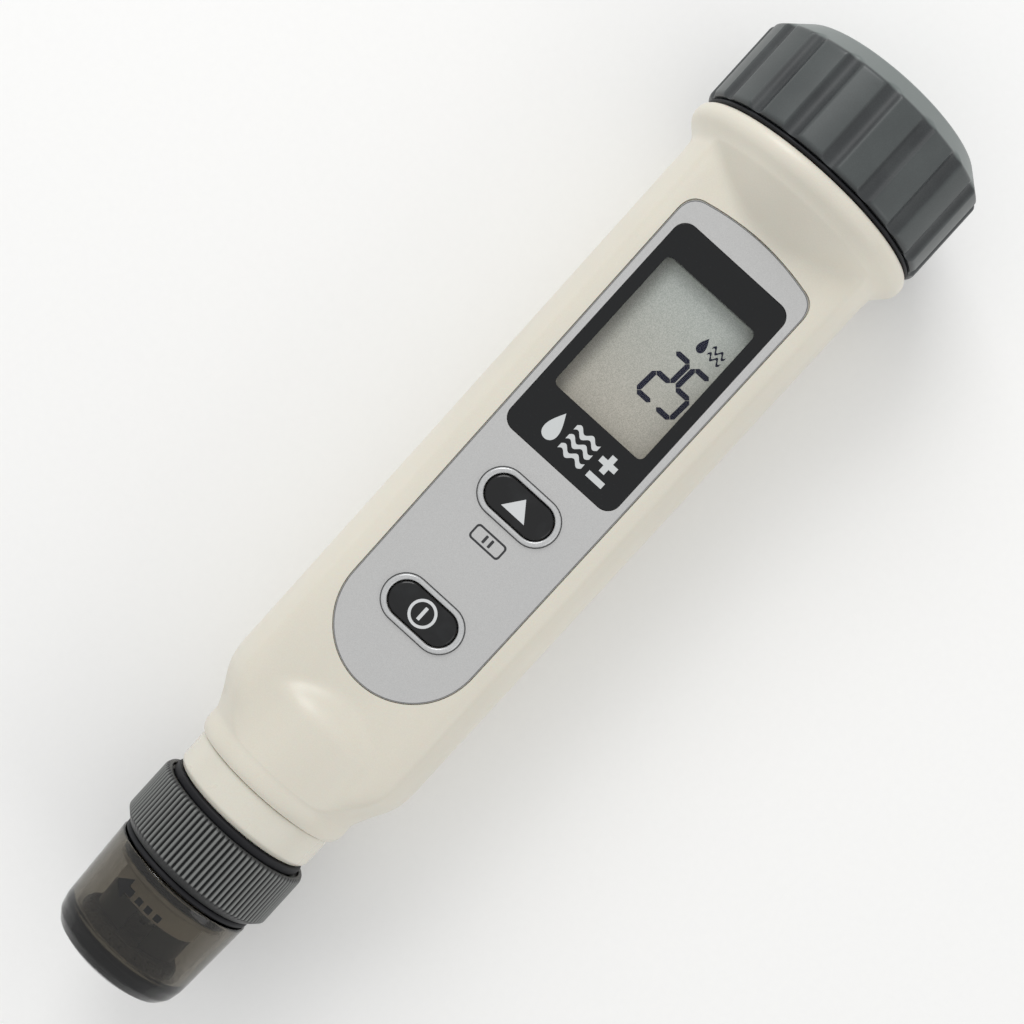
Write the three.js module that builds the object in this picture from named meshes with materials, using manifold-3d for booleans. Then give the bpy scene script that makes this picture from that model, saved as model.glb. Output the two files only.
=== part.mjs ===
// A pen-shaped digital water tester: an ivory housing with a display and two keys on its flat, a fluted
// battery cap on one end, and a replaceable probe under a ribbed collar and a push-on storage cap.
//
// Millimetres. The pen lies on its back. +Y runs along it from the storage cap to the battery cap,
// +Z points out of the display, and +X is to the display's right. The origin is under the middle of
// the pen's length, level with the lowest point of the flared rim.
//
// Every piece is drawn about the pen's own axis: distances along Y count from the storage cap's end
// face, and heights along Z count from the axis. The pen group moves them all to the origin above.

import * as THREE from "three";
import { ParametricGeometry } from "three/addons/geometries/ParametricGeometry.js";
import { mergeVertices } from "three/addons/utils/BufferGeometryUtils.js";
import Module from "manifold-3d";

const wasm = await Module();
wasm.setup();

// ---- Driving dimensions ----

const PEN_LENGTH = 195.5;

// The housing's skin, a round tube with one flat for the display
const BODY_TOP_RADIUS = 20;
const BODY_LOW_RADIUS = 19.4;
const FLAT_HEIGHT = 12;
const EDGE_BLEND = 2.2;
const WALL = 2.4;

// The flared rim that meets the battery cap
const RIM_RADIUS = 23.15;
const RIM_END = 174.7;
const FLARE_START = 162;
const FLARE_SLOPE = 1.16;

// The round nose that rises out of the flat towards the probe, and its skirt
const NOSE_RADIUS = 15.25;
const NOSE_END = 60.3;
const NOSE_SLOPE = 0.87;
const SKIRT_START = 40.5;
const NOSE_BLEND = 1.6;

// Battery cap and the threaded spigot under it
const CAP_RADIUS = 23;
const CAP_START = 175.8;
const CAP_FLUTES = 18;
const CAP_FLUTE_DEPTH = 0.75;
const CAP_FLUTE_WIDTH = 3.1;
const CAP_FLUTE_TURN = -11.3;
const SPIGOT_RADIUS = 18.4;
const SPIGOT_BORE = 16.2;
const SPIGOT_END = 187.6;
const CAP_THREAD_PITCH = 3;

// Probe end
const SLEEVE_RADIUS = 13.95;
const SLEEVE_BORE = 10.7;
const SLEEVE_THREAD_ROOT = 12.2;
const COLLAR_RADIUS = 15.2;
const COLLAR_START = 20.8;
const COLLAR_END = 32.2;
const COLLAR_RIBS = 96;
const COLLAR_BORE = 13.2;
const COLLAR_THREAD_PITCH = 2.5;
const STORAGE_CAP_END = 19.4;
const STORAGE_CAP_MOUTH_RADIUS = 13.5;

// Label, display and keys on the flat
const PANEL_START = 64.6;
const PANEL_END = 161.7;
const PANEL_TOP_HALF_WIDTH = 13.55;
const PANEL_LOW_HALF_WIDTH = 13;
const PANEL_THICKNESS = 0.5;
const LENS_WIDTH = 23.7;
const LENS_START = 112;
const LENS_END = 156.3;
const LENS_CORNER = 1.8;
const LENS_THICKNESS = 1.4;
const WINDOW_WIDTH = 20.3;
const WINDOW_START = 121.6;
const WINDOW_END = 150.7;
const KEY_PLACES = { hold: 103.3, power: 79.9 };
const KEY_LENGTH = 13.1;
const KEY_WIDTH = 6.2;
const BEZEL_LENGTH = 15.5;
const BEZEL_WIDTH = 8.3;

// Circuit board and what stands on it
const BOARD_LOW = 3.6;
const BOARD_HIGH = 5.2;
const BOARD_HALF_WIDTH = 13;
const BOARD_START = 64;
const BOARD_END = 156;
const SCREW_PLACES = { lower: [-9.5, 72], upper: [9.5, 112] };

// Button cells
const CELL_RADIUS = 5.8;
const CELL_HEIGHT = 5.4;
const CELL_COUNT = 4;
const CELL_GAP = 0.12;
const CELLS_START = 162.75;

// Gaps: between pieces that touch, and round pieces that slide or turn
const TOUCH_GAP = 0.1;
const LOOSE_GAP = 0.2;

// Facets round a turned piece
const HOUSING_FACETS = 40;
const RING_FACETS = 36;
const SMALL_FACETS = 16;

const MERGE_DISTANCE = 1e-4;

// ---- Solids ----

/** The manifold-3d solid of a closed three.js geometry, with its seams merged. */
function toSolid(geometry) {
  const bare = geometry.clone();
  bare.deleteAttribute("normal");
  bare.deleteAttribute("uv");
  const merged = mergeVertices(bare, MERGE_DISTANCE);
  const corners = merged.index.array;
  const faces = [];
  for (let i = 0; i < corners.length; i += 3) {
    const [a, b, c] = corners.slice(i, i + 3);
    if (a !== b && b !== c && c !== a) faces.push(a, b, c);
  }
  const vertProperties = new Float32Array(merged.attributes.position.array);
  return new wasm.Manifold(
    new wasm.Mesh({ numProp: 3, vertProperties, triVerts: new Uint32Array(faces) }),
  );
}

/** The three.js geometry of a manifold-3d solid. */
function toGeometry(solid) {
  const mesh = solid.getMesh();
  const geometry = new THREE.BufferGeometry();
  geometry.setAttribute("position", new THREE.BufferAttribute(mesh.vertProperties, 3));
  geometry.setIndex(new THREE.BufferAttribute(mesh.triVerts, 1));
  geometry.computeVertexNormals();
  return geometry;
}

/** One solid made of all the given ones. */
function join(first, ...others) {
  return toGeometry(others.reduce((whole, other) => whole.add(toSolid(other)), toSolid(first)));
}

/** A solid with all the given tools cut out of it. */
function cut(body, ...tools) {
  return toGeometry(tools.reduce((left, tool) => left.subtract(toSolid(tool)), toSolid(body)));
}

/** What two solids have in common. */
function overlap(first, second) {
  return toGeometry(toSolid(first).intersect(toSolid(second)));
}

// ---- Shapes ----

/**
 * A profile of [radius, distance] points turned about the pen's axis, anticlockwise seen with the
 * radius to the right. A profile off the axis closes on itself. A facet is centred on the back.
 */
function turned(profile, facets = RING_FACETS) {
  const points = profile.map(([radius, along]) => new THREE.Vector2(radius, along));
  if (profile[0][0] > 0) points.push(points[0].clone());
  return new THREE.LatheGeometry(points, facets, Math.PI / facets);
}

/** A ring with a square section. */
function ring(inner, outer, start, end, facets = RING_FACETS) {
  const profile = [
    [inner, start],
    [outer, start],
    [outer, end],
    [inner, end],
  ];
  return turned(profile, facets);
}

/** A rod along the pen, centred on (x, z). */
function rod(radius, start, end, x = 0, z = 0, facets = SMALL_FACETS) {
  const profile = [
    [0, start],
    [radius, start],
    [radius, end],
    [0, end],
  ];
  return turned(profile, facets).translate(x, 0, z);
}

/** A round post that stands out of the display's plane at (x, y). */
function post(radius, x, y, low, high, facets = 16) {
  return new THREE.CylinderGeometry(radius, radius, high - low, facets)
    .rotateX(Math.PI / 2)
    .translate(x, y, (low + high) / 2);
}

/** A block between two values on each axis. */
function block([x0, x1], [y0, y1], [z0, z1]) {
  return new THREE.BoxGeometry(x1 - x0, y1 - y0, z1 - z0).translate(
    (x0 + x1) / 2,
    (y0 + y1) / 2,
    (z0 + z1) / 2,
  );
}

/** An outline in the display's plane, made solid between two heights. */
function plate(outline, low, high, curveSegments = 5) {
  const settings = { depth: high - low, bevelEnabled: false, curveSegments };
  return new THREE.ExtrudeGeometry(outline, settings).translate(0, 0, low);
}

/** A rectangle with round corners, centred at a distance along the pen. */
function roundedRectangle(width, length, radius, along) {
  const x = width / 2 - radius;
  const y = length / 2 - radius;
  const outline = new THREE.Shape();
  outline.absarc(x, along + y, radius, 0, Math.PI / 2);
  outline.absarc(-x, along + y, radius, Math.PI / 2, Math.PI);
  outline.absarc(-x, along - y, radius, Math.PI, 1.5 * Math.PI);
  outline.absarc(x, along - y, radius, 1.5 * Math.PI, 2 * Math.PI);
  return outline;
}

/** A key's outline: a slot with round ends, its long way across the pen. */
function stadium(length, width, along) {
  const radius = width / 2;
  const x = length / 2 - radius;
  const outline = new THREE.Shape();
  outline.absarc(x, along, radius, -Math.PI / 2, Math.PI / 2);
  outline.absarc(-x, along, radius, Math.PI / 2, 1.5 * Math.PI);
  return outline;
}

/** The smaller of two radii, with the corner between them rounded over a blend distance. */
function smoothMin(a, b, blend) {
  const share = Math.max(blend - Math.abs(a - b), 0) / blend;
  return Math.min(a, b) - (share * share * blend) / 4;
}

/** The larger of two radii, with the valley between them filled over a blend distance. */
function smoothMax(a, b, blend) {
  return -smoothMin(-a, -b, blend);
}

/** Moves each vertex of a turned geometry to a new radius, which depends on its place. */
function reshaped(geometry, radiusAt) {
  const places = geometry.attributes.position;
  for (let i = 0; i < places.count; i += 1) {
    const radius = Math.hypot(places.getX(i), places.getZ(i));
    if (radius > 1e-6) {
      const facing = places.getZ(i) / radius;
      const scale = radiusAt(radius, facing, places.getY(i)) / radius;
      places.setX(i, places.getX(i) * scale);
      places.setZ(i, places.getZ(i) * scale);
    }
  }
  return geometry;
}

/**
 * A screw thread: a ridge of tapering section on a right-hand helix about the pen's axis, fading into
 * its wall over an eighth of a turn at each end.
 */
function threadRidge({ root, crest, pitch, turns, rootWidth, crestWidth, start }) {
  const stepsPerTurn = 20;
  const steps = Math.round(turns * stepsPerTurn);
  const fade = stepsPerTurn / 8;
  const corners = [
    [crest, crestWidth / 2],
    [crest, -crestWidth / 2],
    [root, -rootWidth / 2],
    [root, rootWidth / 2],
  ];
  if (crest < root) corners.reverse();
  const surface = (u, v, target) => {
    const step = Math.round(v * steps);
    const size = Math.min(1, step / fade, (steps - step) / fade);
    const [radius, offset] = corners[Math.round(u * corners.length) % corners.length];
    const grown = root + (radius - root) * size;
    const angle = (step / stepsPerTurn) * 2 * Math.PI;
    const along = start + (step / stepsPerTurn) * pitch + offset * size;
    target.set(grown * Math.sin(angle), along, grown * Math.cos(angle));
  };
  return new ParametricGeometry(surface, corners.length, steps);
}

// ---- Housing ----

/** The skin's radius: the round body, flattened at the display, with the nose and the flare on it. */
function skinRadius(round, facing, along) {
  const flat = FLAT_HEIGHT / Math.max(facing, 0.05);
  const body = smoothMin(round, flat, EDGE_BLEND);
  const noseEdge = FLAT_HEIGHT + (NOSE_END - along) * NOSE_SLOPE;
  const nose = smoothMin(NOSE_RADIUS, noseEdge, NOSE_BLEND);
  const flare = FLAT_HEIGHT + (along - FLARE_START) * FLARE_SLOPE;
  return Math.min(round, smoothMax(body, Math.max(nose, flare, 1), NOSE_BLEND));
}

/** The cavity's radius: the same skin, one wall further in. */
function cavityRadius(round, facing, along) {
  const flat = (FLAT_HEIGHT - WALL) / Math.max(facing, 0.05);
  const nose = FLAT_HEIGHT - WALL + (NOSE_END - WALL - along) * NOSE_SLOPE;
  const flare = FLAT_HEIGHT - WALL + (along - FLARE_START - WALL) * FLARE_SLOPE;
  return Math.min(round, Math.max(flat, nose, flare));
}

function housingSkin() {
  const profile = [
    [0, SKIRT_START],
    [14.6, SKIRT_START],
    [15.1, 41.3],
    [15.25, 42.6],
    [15, 44.3],
    [15.15, 45],
    [16.7, 47.8],
    [18.3, 50.6],
    [19, 52.4],
    [19.35, 54.6],
    [BODY_LOW_RADIUS, 56.5],
    [BODY_LOW_RADIUS, NOSE_END],
    [19.42, 62.2],
    [19.98, 159.9],
    [BODY_TOP_RADIUS, FLARE_START],
    [BODY_TOP_RADIUS, 163.4],
    [BODY_TOP_RADIUS, 166.2],
    [20.25, 169],
    [21.3, 170.2],
    [22.6, 171.4],
    [RIM_RADIUS, 172.6],
    [22.95, 173.9],
    [22.2, RIM_END],
    [SPIGOT_RADIUS, RIM_END],
    [SPIGOT_RADIUS, SPIGOT_END - 0.6],
    [SPIGOT_RADIUS - 0.6, SPIGOT_END],
    [0, SPIGOT_END],
  ];
  return reshaped(turned(profile, HOUSING_FACETS), skinRadius);
}

function housingCavity() {
  const mouth = 1;
  const profile = [
    [0, SKIRT_START - mouth],
    [13.2, SKIRT_START - mouth],
    [13.2, 50.4],
    [15.2, 53.6],
    [17, 57.9],
    [17.2, 60],
    [17.5, 158],
    [17.5, 164.4],
    [SPIGOT_BORE, 169.8],
    [SPIGOT_BORE, SPIGOT_END + mouth],
    [0, SPIGOT_END + mouth],
  ];
  return reshaped(turned(profile, HOUSING_FACETS), cavityRadius);
}

/** The face panel's outline: a round lower end, sides that part a little, and a crowned top. */
function panelOutline(grow = 0) {
  const low = PANEL_LOW_HALF_WIDTH + grow;
  const top = PANEL_TOP_HALF_WIDTH + grow;
  const end = PANEL_END + grow;
  const crown = 2;
  const corner = 3.2;
  const outline = new THREE.Shape();
  outline.absarc(0, PANEL_START - grow + low, low, Math.PI, 2 * Math.PI);
  outline.lineTo(top, end - crown - corner);
  outline.quadraticCurveTo(top, end - crown + 0.3, top - corner, end - crown + 0.8);
  outline.quadraticCurveTo(0, end + 1.2, corner - top, end - crown + 0.8);
  outline.quadraticCurveTo(-top, end - crown + 0.3, -top, end - crown - corner);
  return outline;
}

const PANEL_FLOOR = FLAT_HEIGHT - PANEL_THICKNESS - TOUCH_GAP;
const LENS_FLOOR = FLAT_HEIGHT - LENS_THICKNESS - TOUCH_GAP;
const LENS_MIDDLE = (LENS_START + LENS_END) / 2;
const WINDOW_MIDDLE = (WINDOW_START + WINDOW_END) / 2;

function housing() {
  const above = FLAT_HEIGHT + 1;
  const below = FLAT_HEIGHT - WALL - 1;
  const lensPocket = roundedRectangle(
    LENS_WIDTH + 2 * LOOSE_GAP,
    LENS_END - LENS_START + 2 * LOOSE_GAP,
    LENS_CORNER,
    LENS_MIDDLE,
  );
  const window = roundedRectangle(WINDOW_WIDTH, WINDOW_END - WINDOW_START, 0.6, WINDOW_MIDDLE);
  const keyHoles = Object.values(KEY_PLACES).map((along) =>
    plate(stadium(KEY_LENGTH + 2 * LOOSE_GAP, KEY_WIDTH + 2 * LOOSE_GAP, along), below, above),
  );
  const shell = cut(
    housingSkin(),
    housingCavity(),
    plate(panelOutline(LOOSE_GAP), PANEL_FLOOR, above),
    plate(lensPocket, LENS_FLOOR, above),
    plate(window, below, above, 2),
    ...keyHoles,
  );
  return join(
    shell,
    threadRidge({
      root: SPIGOT_RADIUS - 0.3,
      crest: SPIGOT_RADIUS + 0.75,
      pitch: CAP_THREAD_PITCH,
      turns: 2.75,
      rootWidth: 1.3,
      crestWidth: 0.5,
      start: 177.3,
    }),
  );
}

// ---- Label, display and keys ----

function facePanel() {
  const outline = panelOutline();
  outline.holes.push(
    roundedRectangle(
      LENS_WIDTH + LOOSE_GAP,
      LENS_END - LENS_START + LOOSE_GAP,
      LENS_CORNER,
      LENS_MIDDLE,
    ),
  );
  for (const along of Object.values(KEY_PLACES)) {
    outline.holes.push(stadium(BEZEL_LENGTH + LOOSE_GAP, BEZEL_WIDTH + LOOSE_GAP, along));
  }
  return plate(outline, FLAT_HEIGHT - PANEL_THICKNESS, FLAT_HEIGHT);
}

function displayLens() {
  const outline = roundedRectangle(LENS_WIDTH, LENS_END - LENS_START, LENS_CORNER, LENS_MIDDLE);
  return plate(outline, FLAT_HEIGHT - LENS_THICKNESS, FLAT_HEIGHT);
}

/** The raised frame that a key moves in. */
function keyBezel(along) {
  const outline = stadium(BEZEL_LENGTH, BEZEL_WIDTH, along);
  outline.holes.push(stadium(KEY_LENGTH + 2 * LOOSE_GAP, KEY_WIDTH + 2 * LOOSE_GAP, along));
  return plate(outline, PANEL_FLOOR + TOUCH_GAP, FLAT_HEIGHT + 0.6);
}

/** A key: its top stands in the bezel, and a wider foot under the wall keeps it in. */
function key(along) {
  return join(
    plate(stadium(KEY_LENGTH, KEY_WIDTH, along), 8.8, FLAT_HEIGHT + 0.45),
    plate(stadium(KEY_LENGTH + 2, KEY_WIDTH + 2, along), 8.4, 9.2),
  );
}

/** The can of a tactile switch, open in the middle for its plunger. */
function switchBody(along) {
  const can = block([-3, 3], [along - 3, along + 3], [BOARD_HIGH + TOUCH_GAP, 7]);
  return cut(can, post(1.85, 0, along, BOARD_HIGH + 0.5, 8));
}

/** The plunger of a tactile switch, which moves with its key. */
function switchPlunger(along) {
  return post(1.5, 0, along, BOARD_HIGH + 1.1, 8.3);
}

const LCD_LENGTH = 33;
const LCD_WIDTH = 23.4;
const LCD_LOW = 7.3;
const LCD_HIGH = FLAT_HEIGHT - WALL - 0.2;

function lcdGlass() {
  const y = [WINDOW_MIDDLE - LCD_LENGTH / 2, WINDOW_MIDDLE + LCD_LENGTH / 2];
  return block([-LCD_WIDTH / 2, LCD_WIDTH / 2], y, [LCD_LOW, LCD_HIGH]);
}

/** The frame that holds the glass above the board, with feet under its two long sides. */
function lcdFrame() {
  const outline = roundedRectangle(LCD_WIDTH + 2.4, LCD_LENGTH + 2.8, 1, WINDOW_MIDDLE);
  const hole = roundedRectangle(LCD_WIDTH + 0.4, LCD_LENGTH + 0.4, 0.4, WINDOW_MIDDLE);
  outline.holes.push(hole);
  return plate(outline, BOARD_HIGH + TOUCH_GAP, LCD_HIGH - 0.3, 2);
}

/** A rubber strip of fine conductors between the board and one end of the glass. */
function zebraStrip(along) {
  const y = [along - 0.9, along + 0.9];
  return block([-11.5, 11.5], y, [BOARD_HIGH + TOUCH_GAP, LCD_LOW - TOUCH_GAP]);
}

// ---- Board and chassis ----

function mainBoard() {
  const middle = (BOARD_START + BOARD_END) / 2;
  const outline = roundedRectangle(2 * BOARD_HALF_WIDTH, BOARD_END - BOARD_START, 2, middle);
  for (const [x, y] of Object.values(SCREW_PLACES)) {
    const hole = new THREE.Path();
    hole.absarc(x, y, 1.35, 0, 2 * Math.PI);
    outline.holes.push(hole);
  }
  return plate(outline, BOARD_LOW, BOARD_HIGH, 4);
}

function controllerChip() {
  return plate(roundedRectangle(10, 10, 0.8, 134), BOARD_HIGH + TOUCH_GAP, BOARD_HIGH + 1.5, 2);
}

function boardScrew([x, y]) {
  return join(
    post(2.2, x, y, BOARD_HIGH + TOUCH_GAP, BOARD_HIGH + 1.3),
    post(0.95, x, y, 1.5, BOARD_HIGH + 0.3, 12),
  );
}

/** The sled that carries the board: a tray with two rails, on two keels along the back wall. */
function innerChassis() {
  const length = [58.6, 150];
  const tray = block([-14.8, 14.8], length, [1, 2.4]);
  const rails = [-14, 14].map((x) => block([x - 0.8, x + 0.8], length, [1, 6]));
  const keels = [-6, 6].map((x) => block([x - 0.8, x + 0.8], length, [-15.2, 1.2]));
  const places = Object.values(SCREW_PLACES);
  const bosses = places.map(([x, y]) => post(2.4, x, y, 2, BOARD_LOW - TOUCH_GAP));
  const bores = places.map(([x, y]) => post(1.2, x, y, 0, 6, 12));
  return cut(join(tray, ...rails, ...keels, ...bosses), ...bores);
}

// ---- Battery compartment ----

const CARRIER_START = 160.6;
const CARRIER_RADIUS = 7.6;
const CARRIER_BORE = 6.1;

/** The tube that holds the stack of cells, with a flange that centres it in the spigot. */
function batteryCarrier() {
  const profile = [
    [0, CARRIER_START],
    [CARRIER_RADIUS, CARRIER_START],
    [CARRIER_RADIUS, 181.5],
    [SPIGOT_BORE - 0.4, 181.5],
    [SPIGOT_BORE - 0.4, 183],
    [CARRIER_RADIUS, 183],
    [CARRIER_RADIUS, 184.4],
    [CARRIER_BORE, 184.4],
    [CARRIER_BORE, 162],
    [0, 162],
  ];
  const sideWindow = block([-9, 9], [165, 179], [-3.4, 3.4]);
  return cut(turned(profile, 32), sideWindow);
}

function buttonCell(index) {
  const start = CELLS_START + index * (CELL_HEIGHT + CELL_GAP);
  const profile = [
    [0, start],
    [CELL_RADIUS - 0.3, start],
    [CELL_RADIUS, start + 0.3],
    [CELL_RADIUS, start + 4.6],
    [CELL_RADIUS - 1.1, start + 4.8],
    [CELL_RADIUS - 1.2, start + CELL_HEIGHT],
    [0, start + CELL_HEIGHT],
  ];
  return turned(profile, SMALL_FACETS);
}

function lowerContact() {
  return rod(5.6, 162.15, 162.5);
}

/** The spring plate in the cap's ceiling, with a hole for the boss that it turns on. */
function contactDisc() {
  return ring(2.3, 12, 190.6, 191.1, 32);
}

/** The conical spring that presses on the last cell. */
function batterySpring() {
  class ConicalCoil extends THREE.Curve {
    getPoint(share, target = new THREE.Vector3()) {
      const turns = 3.5;
      const radius = 4.6 - 1.2 * share;
      const angle = share * turns * 2 * Math.PI;
      return target.set(radius * Math.cos(angle), 190 - 4.3 * share, radius * Math.sin(angle));
    }
  }
  const wire = new THREE.Shape();
  wire.absarc(0, 0, 0.4, 0, 2 * Math.PI);
  const settings = { steps: 48, extrudePath: new ConicalCoil(), curveSegments: 3 };
  return new THREE.ExtrudeGeometry(wire, { ...settings, bevelEnabled: false });
}

/** An insulated lead from the battery carrier's floor up to the underside of the board. */
function batteryLead(side) {
  const route = new THREE.CatmullRomCurve3([
    new THREE.Vector3(side * 3, 160.3, 1),
    new THREE.Vector3(side * 3.2, 158, 0.2),
    new THREE.Vector3(side * 3.6, 154.6, 0.2),
    new THREE.Vector3(side * 3.6, 153, 3.4),
  ]);
  const section = new THREE.Shape();
  section.absarc(0, 0, 0.6, 0, 2 * Math.PI);
  const settings = { steps: 12, extrudePath: route, curveSegments: 4 };
  return new THREE.ExtrudeGeometry(section, { ...settings, bevelEnabled: false });
}

/** The gasket between the rim and the cap. */
function batteryCapSeal() {
  const profile = [
    [SPIGOT_RADIUS + 0.9, 174.85],
    [22, 174.85],
    [22.35, 175.25],
    [22, 175.65],
    [SPIGOT_RADIUS + 0.9, 175.65],
  ];
  return turned(profile, HOUSING_FACETS);
}

/** The cap's round outline seen from its end: lands with round-bottomed grooves between them. */
function flutedOutline() {
  const cutter = (CAP_FLUTE_WIDTH ** 2 / 4 + CAP_FLUTE_DEPTH ** 2) / (2 * CAP_FLUTE_DEPTH);
  const centreRadius = CAP_RADIUS + cutter - CAP_FLUTE_DEPTH;
  const sweep = Math.asin(CAP_FLUTE_WIDTH / 2 / cutter);
  const outline = new THREE.Shape();
  for (let i = 0; i < CAP_FLUTES; i += 1) {
    const angle = THREE.MathUtils.degToRad(CAP_FLUTE_TURN + (i * 360) / CAP_FLUTES);
    const x = centreRadius * Math.cos(angle);
    const y = centreRadius * Math.sin(angle);
    const inward = angle + Math.PI;
    outline.absarc(x, y, cutter, inward + sweep, inward - sweep, true);
    const land = angle + Math.PI / CAP_FLUTES;
    outline.lineTo(CAP_RADIUS * Math.cos(land), CAP_RADIUS * Math.sin(land));
  }
  return outline;
}

/** An outline seen from the pen's end, made solid between two distances along the pen. */
function lengthwise(outline, start, end, curveSegments) {
  const settings = { depth: end - start, bevelEnabled: false, curveSegments };
  return new THREE.ExtrudeGeometry(outline, settings).rotateX(-Math.PI / 2).translate(0, start, 0);
}

function batteryCap() {
  const profile = [
    [19.5, CAP_START],
    [22.5, CAP_START],
    [CAP_RADIUS + 0.15, CAP_START + 0.7],
    [CAP_RADIUS + 0.15, 191.6],
    [18.6, PEN_LENGTH],
    [0, PEN_LENGTH],
    [0, 189.9],
    [2, 189.9],
    [2, 192.2],
    [17, 192.2],
    [18, 190],
    [19.5, 189],
  ];
  const grip = lengthwise(flutedOutline(), CAP_START - 1, PEN_LENGTH + 1, 2);
  const body = overlap(turned(profile, HOUSING_FACETS), grip);
  return join(
    body,
    threadRidge({
      root: 19.8,
      crest: 18.75,
      pitch: CAP_THREAD_PITCH,
      turns: 2.75,
      rootWidth: 1.3,
      crestWidth: 0.5,
      start: 178.8,
    }),
  );
}

// ---- Probe end ----

/** The ivory neck: its upper half stands in the skirt, and its lower half carries the collar. */
function neckSleeve() {
  const profile = [
    [SLEEVE_BORE, 24.5],
    [SLEEVE_THREAD_ROOT - 0.4, 24.5],
    [SLEEVE_THREAD_ROOT, 25],
    [SLEEVE_THREAD_ROOT, 33.7],
    [SLEEVE_RADIUS - 0.7, 33.7],
    [SLEEVE_RADIUS, 34.6],
    [SLEEVE_RADIUS + 0.05, SKIRT_START - 0.2],
    [12.9, SKIRT_START - 0.2],
    [12.9, 49.6],
    [SLEEVE_BORE, 49.6],
  ];
  return join(
    turned(profile),
    threadRidge({
      root: SLEEVE_THREAD_ROOT - 0.3,
      crest: SLEEVE_THREAD_ROOT + 0.7,
      pitch: COLLAR_THREAD_PITCH,
      turns: 2.25,
      rootWidth: 1.1,
      crestWidth: 0.4,
      start: 25.4,
    }),
  );
}

function collarSeal() {
  const profile = [
    [SLEEVE_THREAD_ROOT + 0.15, 31.9],
    [13.3, 31.8],
    [13.7, 32.1],
    [13.7, 33.3],
    [13.3, 33.5],
    [SLEEVE_THREAD_ROOT + 0.15, 33.5],
  ];
  return turned(profile);
}

/** The ribbed ring that screws onto the neck and traps the probe's flange. */
function probeCollar() {
  const profile = [
    [11.5, COLLAR_START],
    [13.4, COLLAR_START],
    [COLLAR_RADIUS + 0.1, 22.9],
    [COLLAR_RADIUS + 0.1, 30.5],
    [14.7, COLLAR_END],
    [14.1, COLLAR_END],
    [14.1, 31.4],
    [COLLAR_BORE, 31.4],
    [COLLAR_BORE, 22.7],
    [11.5, 22.7],
  ];
  const ribs = new THREE.Shape();
  for (let i = 0; i < 2 * COLLAR_RIBS; i += 1) {
    const radius = COLLAR_RADIUS - (i % 2) * 0.4;
    const angle = (i * Math.PI) / COLLAR_RIBS;
    const place = [radius * Math.cos(angle), radius * Math.sin(angle)];
    if (i) ribs.lineTo(...place);
    else ribs.moveTo(...place);
  }
  const grip = lengthwise(ribs, COLLAR_START - 1, COLLAR_END + 1, 1);
  return join(
    overlap(turned(profile), grip),
    threadRidge({
      root: COLLAR_BORE + 0.3,
      crest: COLLAR_BORE - 0.7,
      pitch: COLLAR_THREAD_PITCH,
      turns: 2,
      rootWidth: 1.1,
      crestWidth: 0.4,
      start: 26.65,
    }),
  );
}

const PIN_PLACES = [-3, 3];

/** The probe: a plug in the neck, a trapped flange, a stem for the storage cap, and four guard legs. */
function probeBody() {
  const profile = [
    [0, 12],
    [6.4, 12],
    [6.4, 7.2],
    [8.3, 7.2],
    [8.5, 15.6],
    [10.9, 16.4],
    [10.9, 17.2],
    [10.2, 17.2],
    [10.2, 18.4],
    [11.2, 18.4],
    [11.2, 22.9],
    [12, 22.9],
    [12, 24.2],
    [10.4, 24.2],
    [10.4, 45.4],
    [9.8, 46],
    [0, 46],
  ];
  const slots = [
    block([-1.9, 1.9], [6, 12.01], [-10, 10]),
    block([-10, 10], [6, 12.01], [-1.9, 1.9]),
  ];
  const sensorBore = rod(3.2, 10, 24, 0, 0);
  const junctionBore = rod(1.1, 10, 15, 4.7, 0, 12);
  const pinBores = PIN_PLACES.map((x) => rod(0.9, 42, 48, x, 0, 12));
  return cut(turned(profile, 28), ...slots, sensorBore, junctionBore, ...pinBores);
}

function probeSeal() {
  const profile = [
    [10.3, 17.3],
    [11.1, 17.35],
    [11.4, 17.8],
    [11.1, 18.25],
    [10.3, 18.3],
  ];
  return turned(profile, 28);
}

function sensorGlass() {
  const profile = [
    [0, 9.4],
    [1.9, 9.4],
    [2.9, 10.4],
    [2.9, 23.7],
    [0, 23.7],
  ];
  return cut(turned(profile, SMALL_FACETS), rod(0.85, 9, 12, 0, 0, 12));
}

function sensorPin() {
  return rod(0.6, 8.4, 11.7, 0, 0, 12);
}

function referenceJunction() {
  return rod(0.9, 11.6, 14.7, 4.7, 0, 12);
}

function probePin(x) {
  return rod(0.6, 42.3, 52.6, x, 0, 12);
}

/** The socket above the neck that the probe's pins push into. */
function probeSocket() {
  const holes = PIN_PLACES.map((x) => rod(0.9, 49, 54.5, x, 0, 12));
  return cut(rod(9.6, 49.9, 56, 0, 0, 32), ...holes);
}

function storageCapSeal() {
  const profile = [
    [12, 19.6],
    [13.1, 19.55],
    [13.4, 20.1],
    [13.1, 20.65],
    [12, 20.6],
  ];
  return turned(profile, 28);
}

function storageCap() {
  const profile = [
    [0, 0],
    [9.4, 0],
    [11.2, 0.8],
    [12.3, 2.3],
    [12.8, 4.4],
    [STORAGE_CAP_MOUTH_RADIUS, STORAGE_CAP_END],
    [11.7, STORAGE_CAP_END],
    [11.6, 14],
    [11.1, 5.4],
    [10.3, 4.4],
    [0, 4.4],
  ];
  return turned(profile);
}

function storageSponge() {
  const profile = [
    [0, 4.6],
    [9.8, 4.6],
    [10.3, 5.2],
    [10, 6.7],
    [9.6, 6.9],
    [0, 6.9],
  ];
  return turned(profile, 28);
}

// ---- Materials and assembly ----

function finish(colour, roughness, metalness = 0, opacity = 1) {
  return new THREE.MeshStandardMaterial({
    color: colour,
    roughness,
    metalness,
    opacity,
    transparent: opacity < 1,
  });
}

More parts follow.
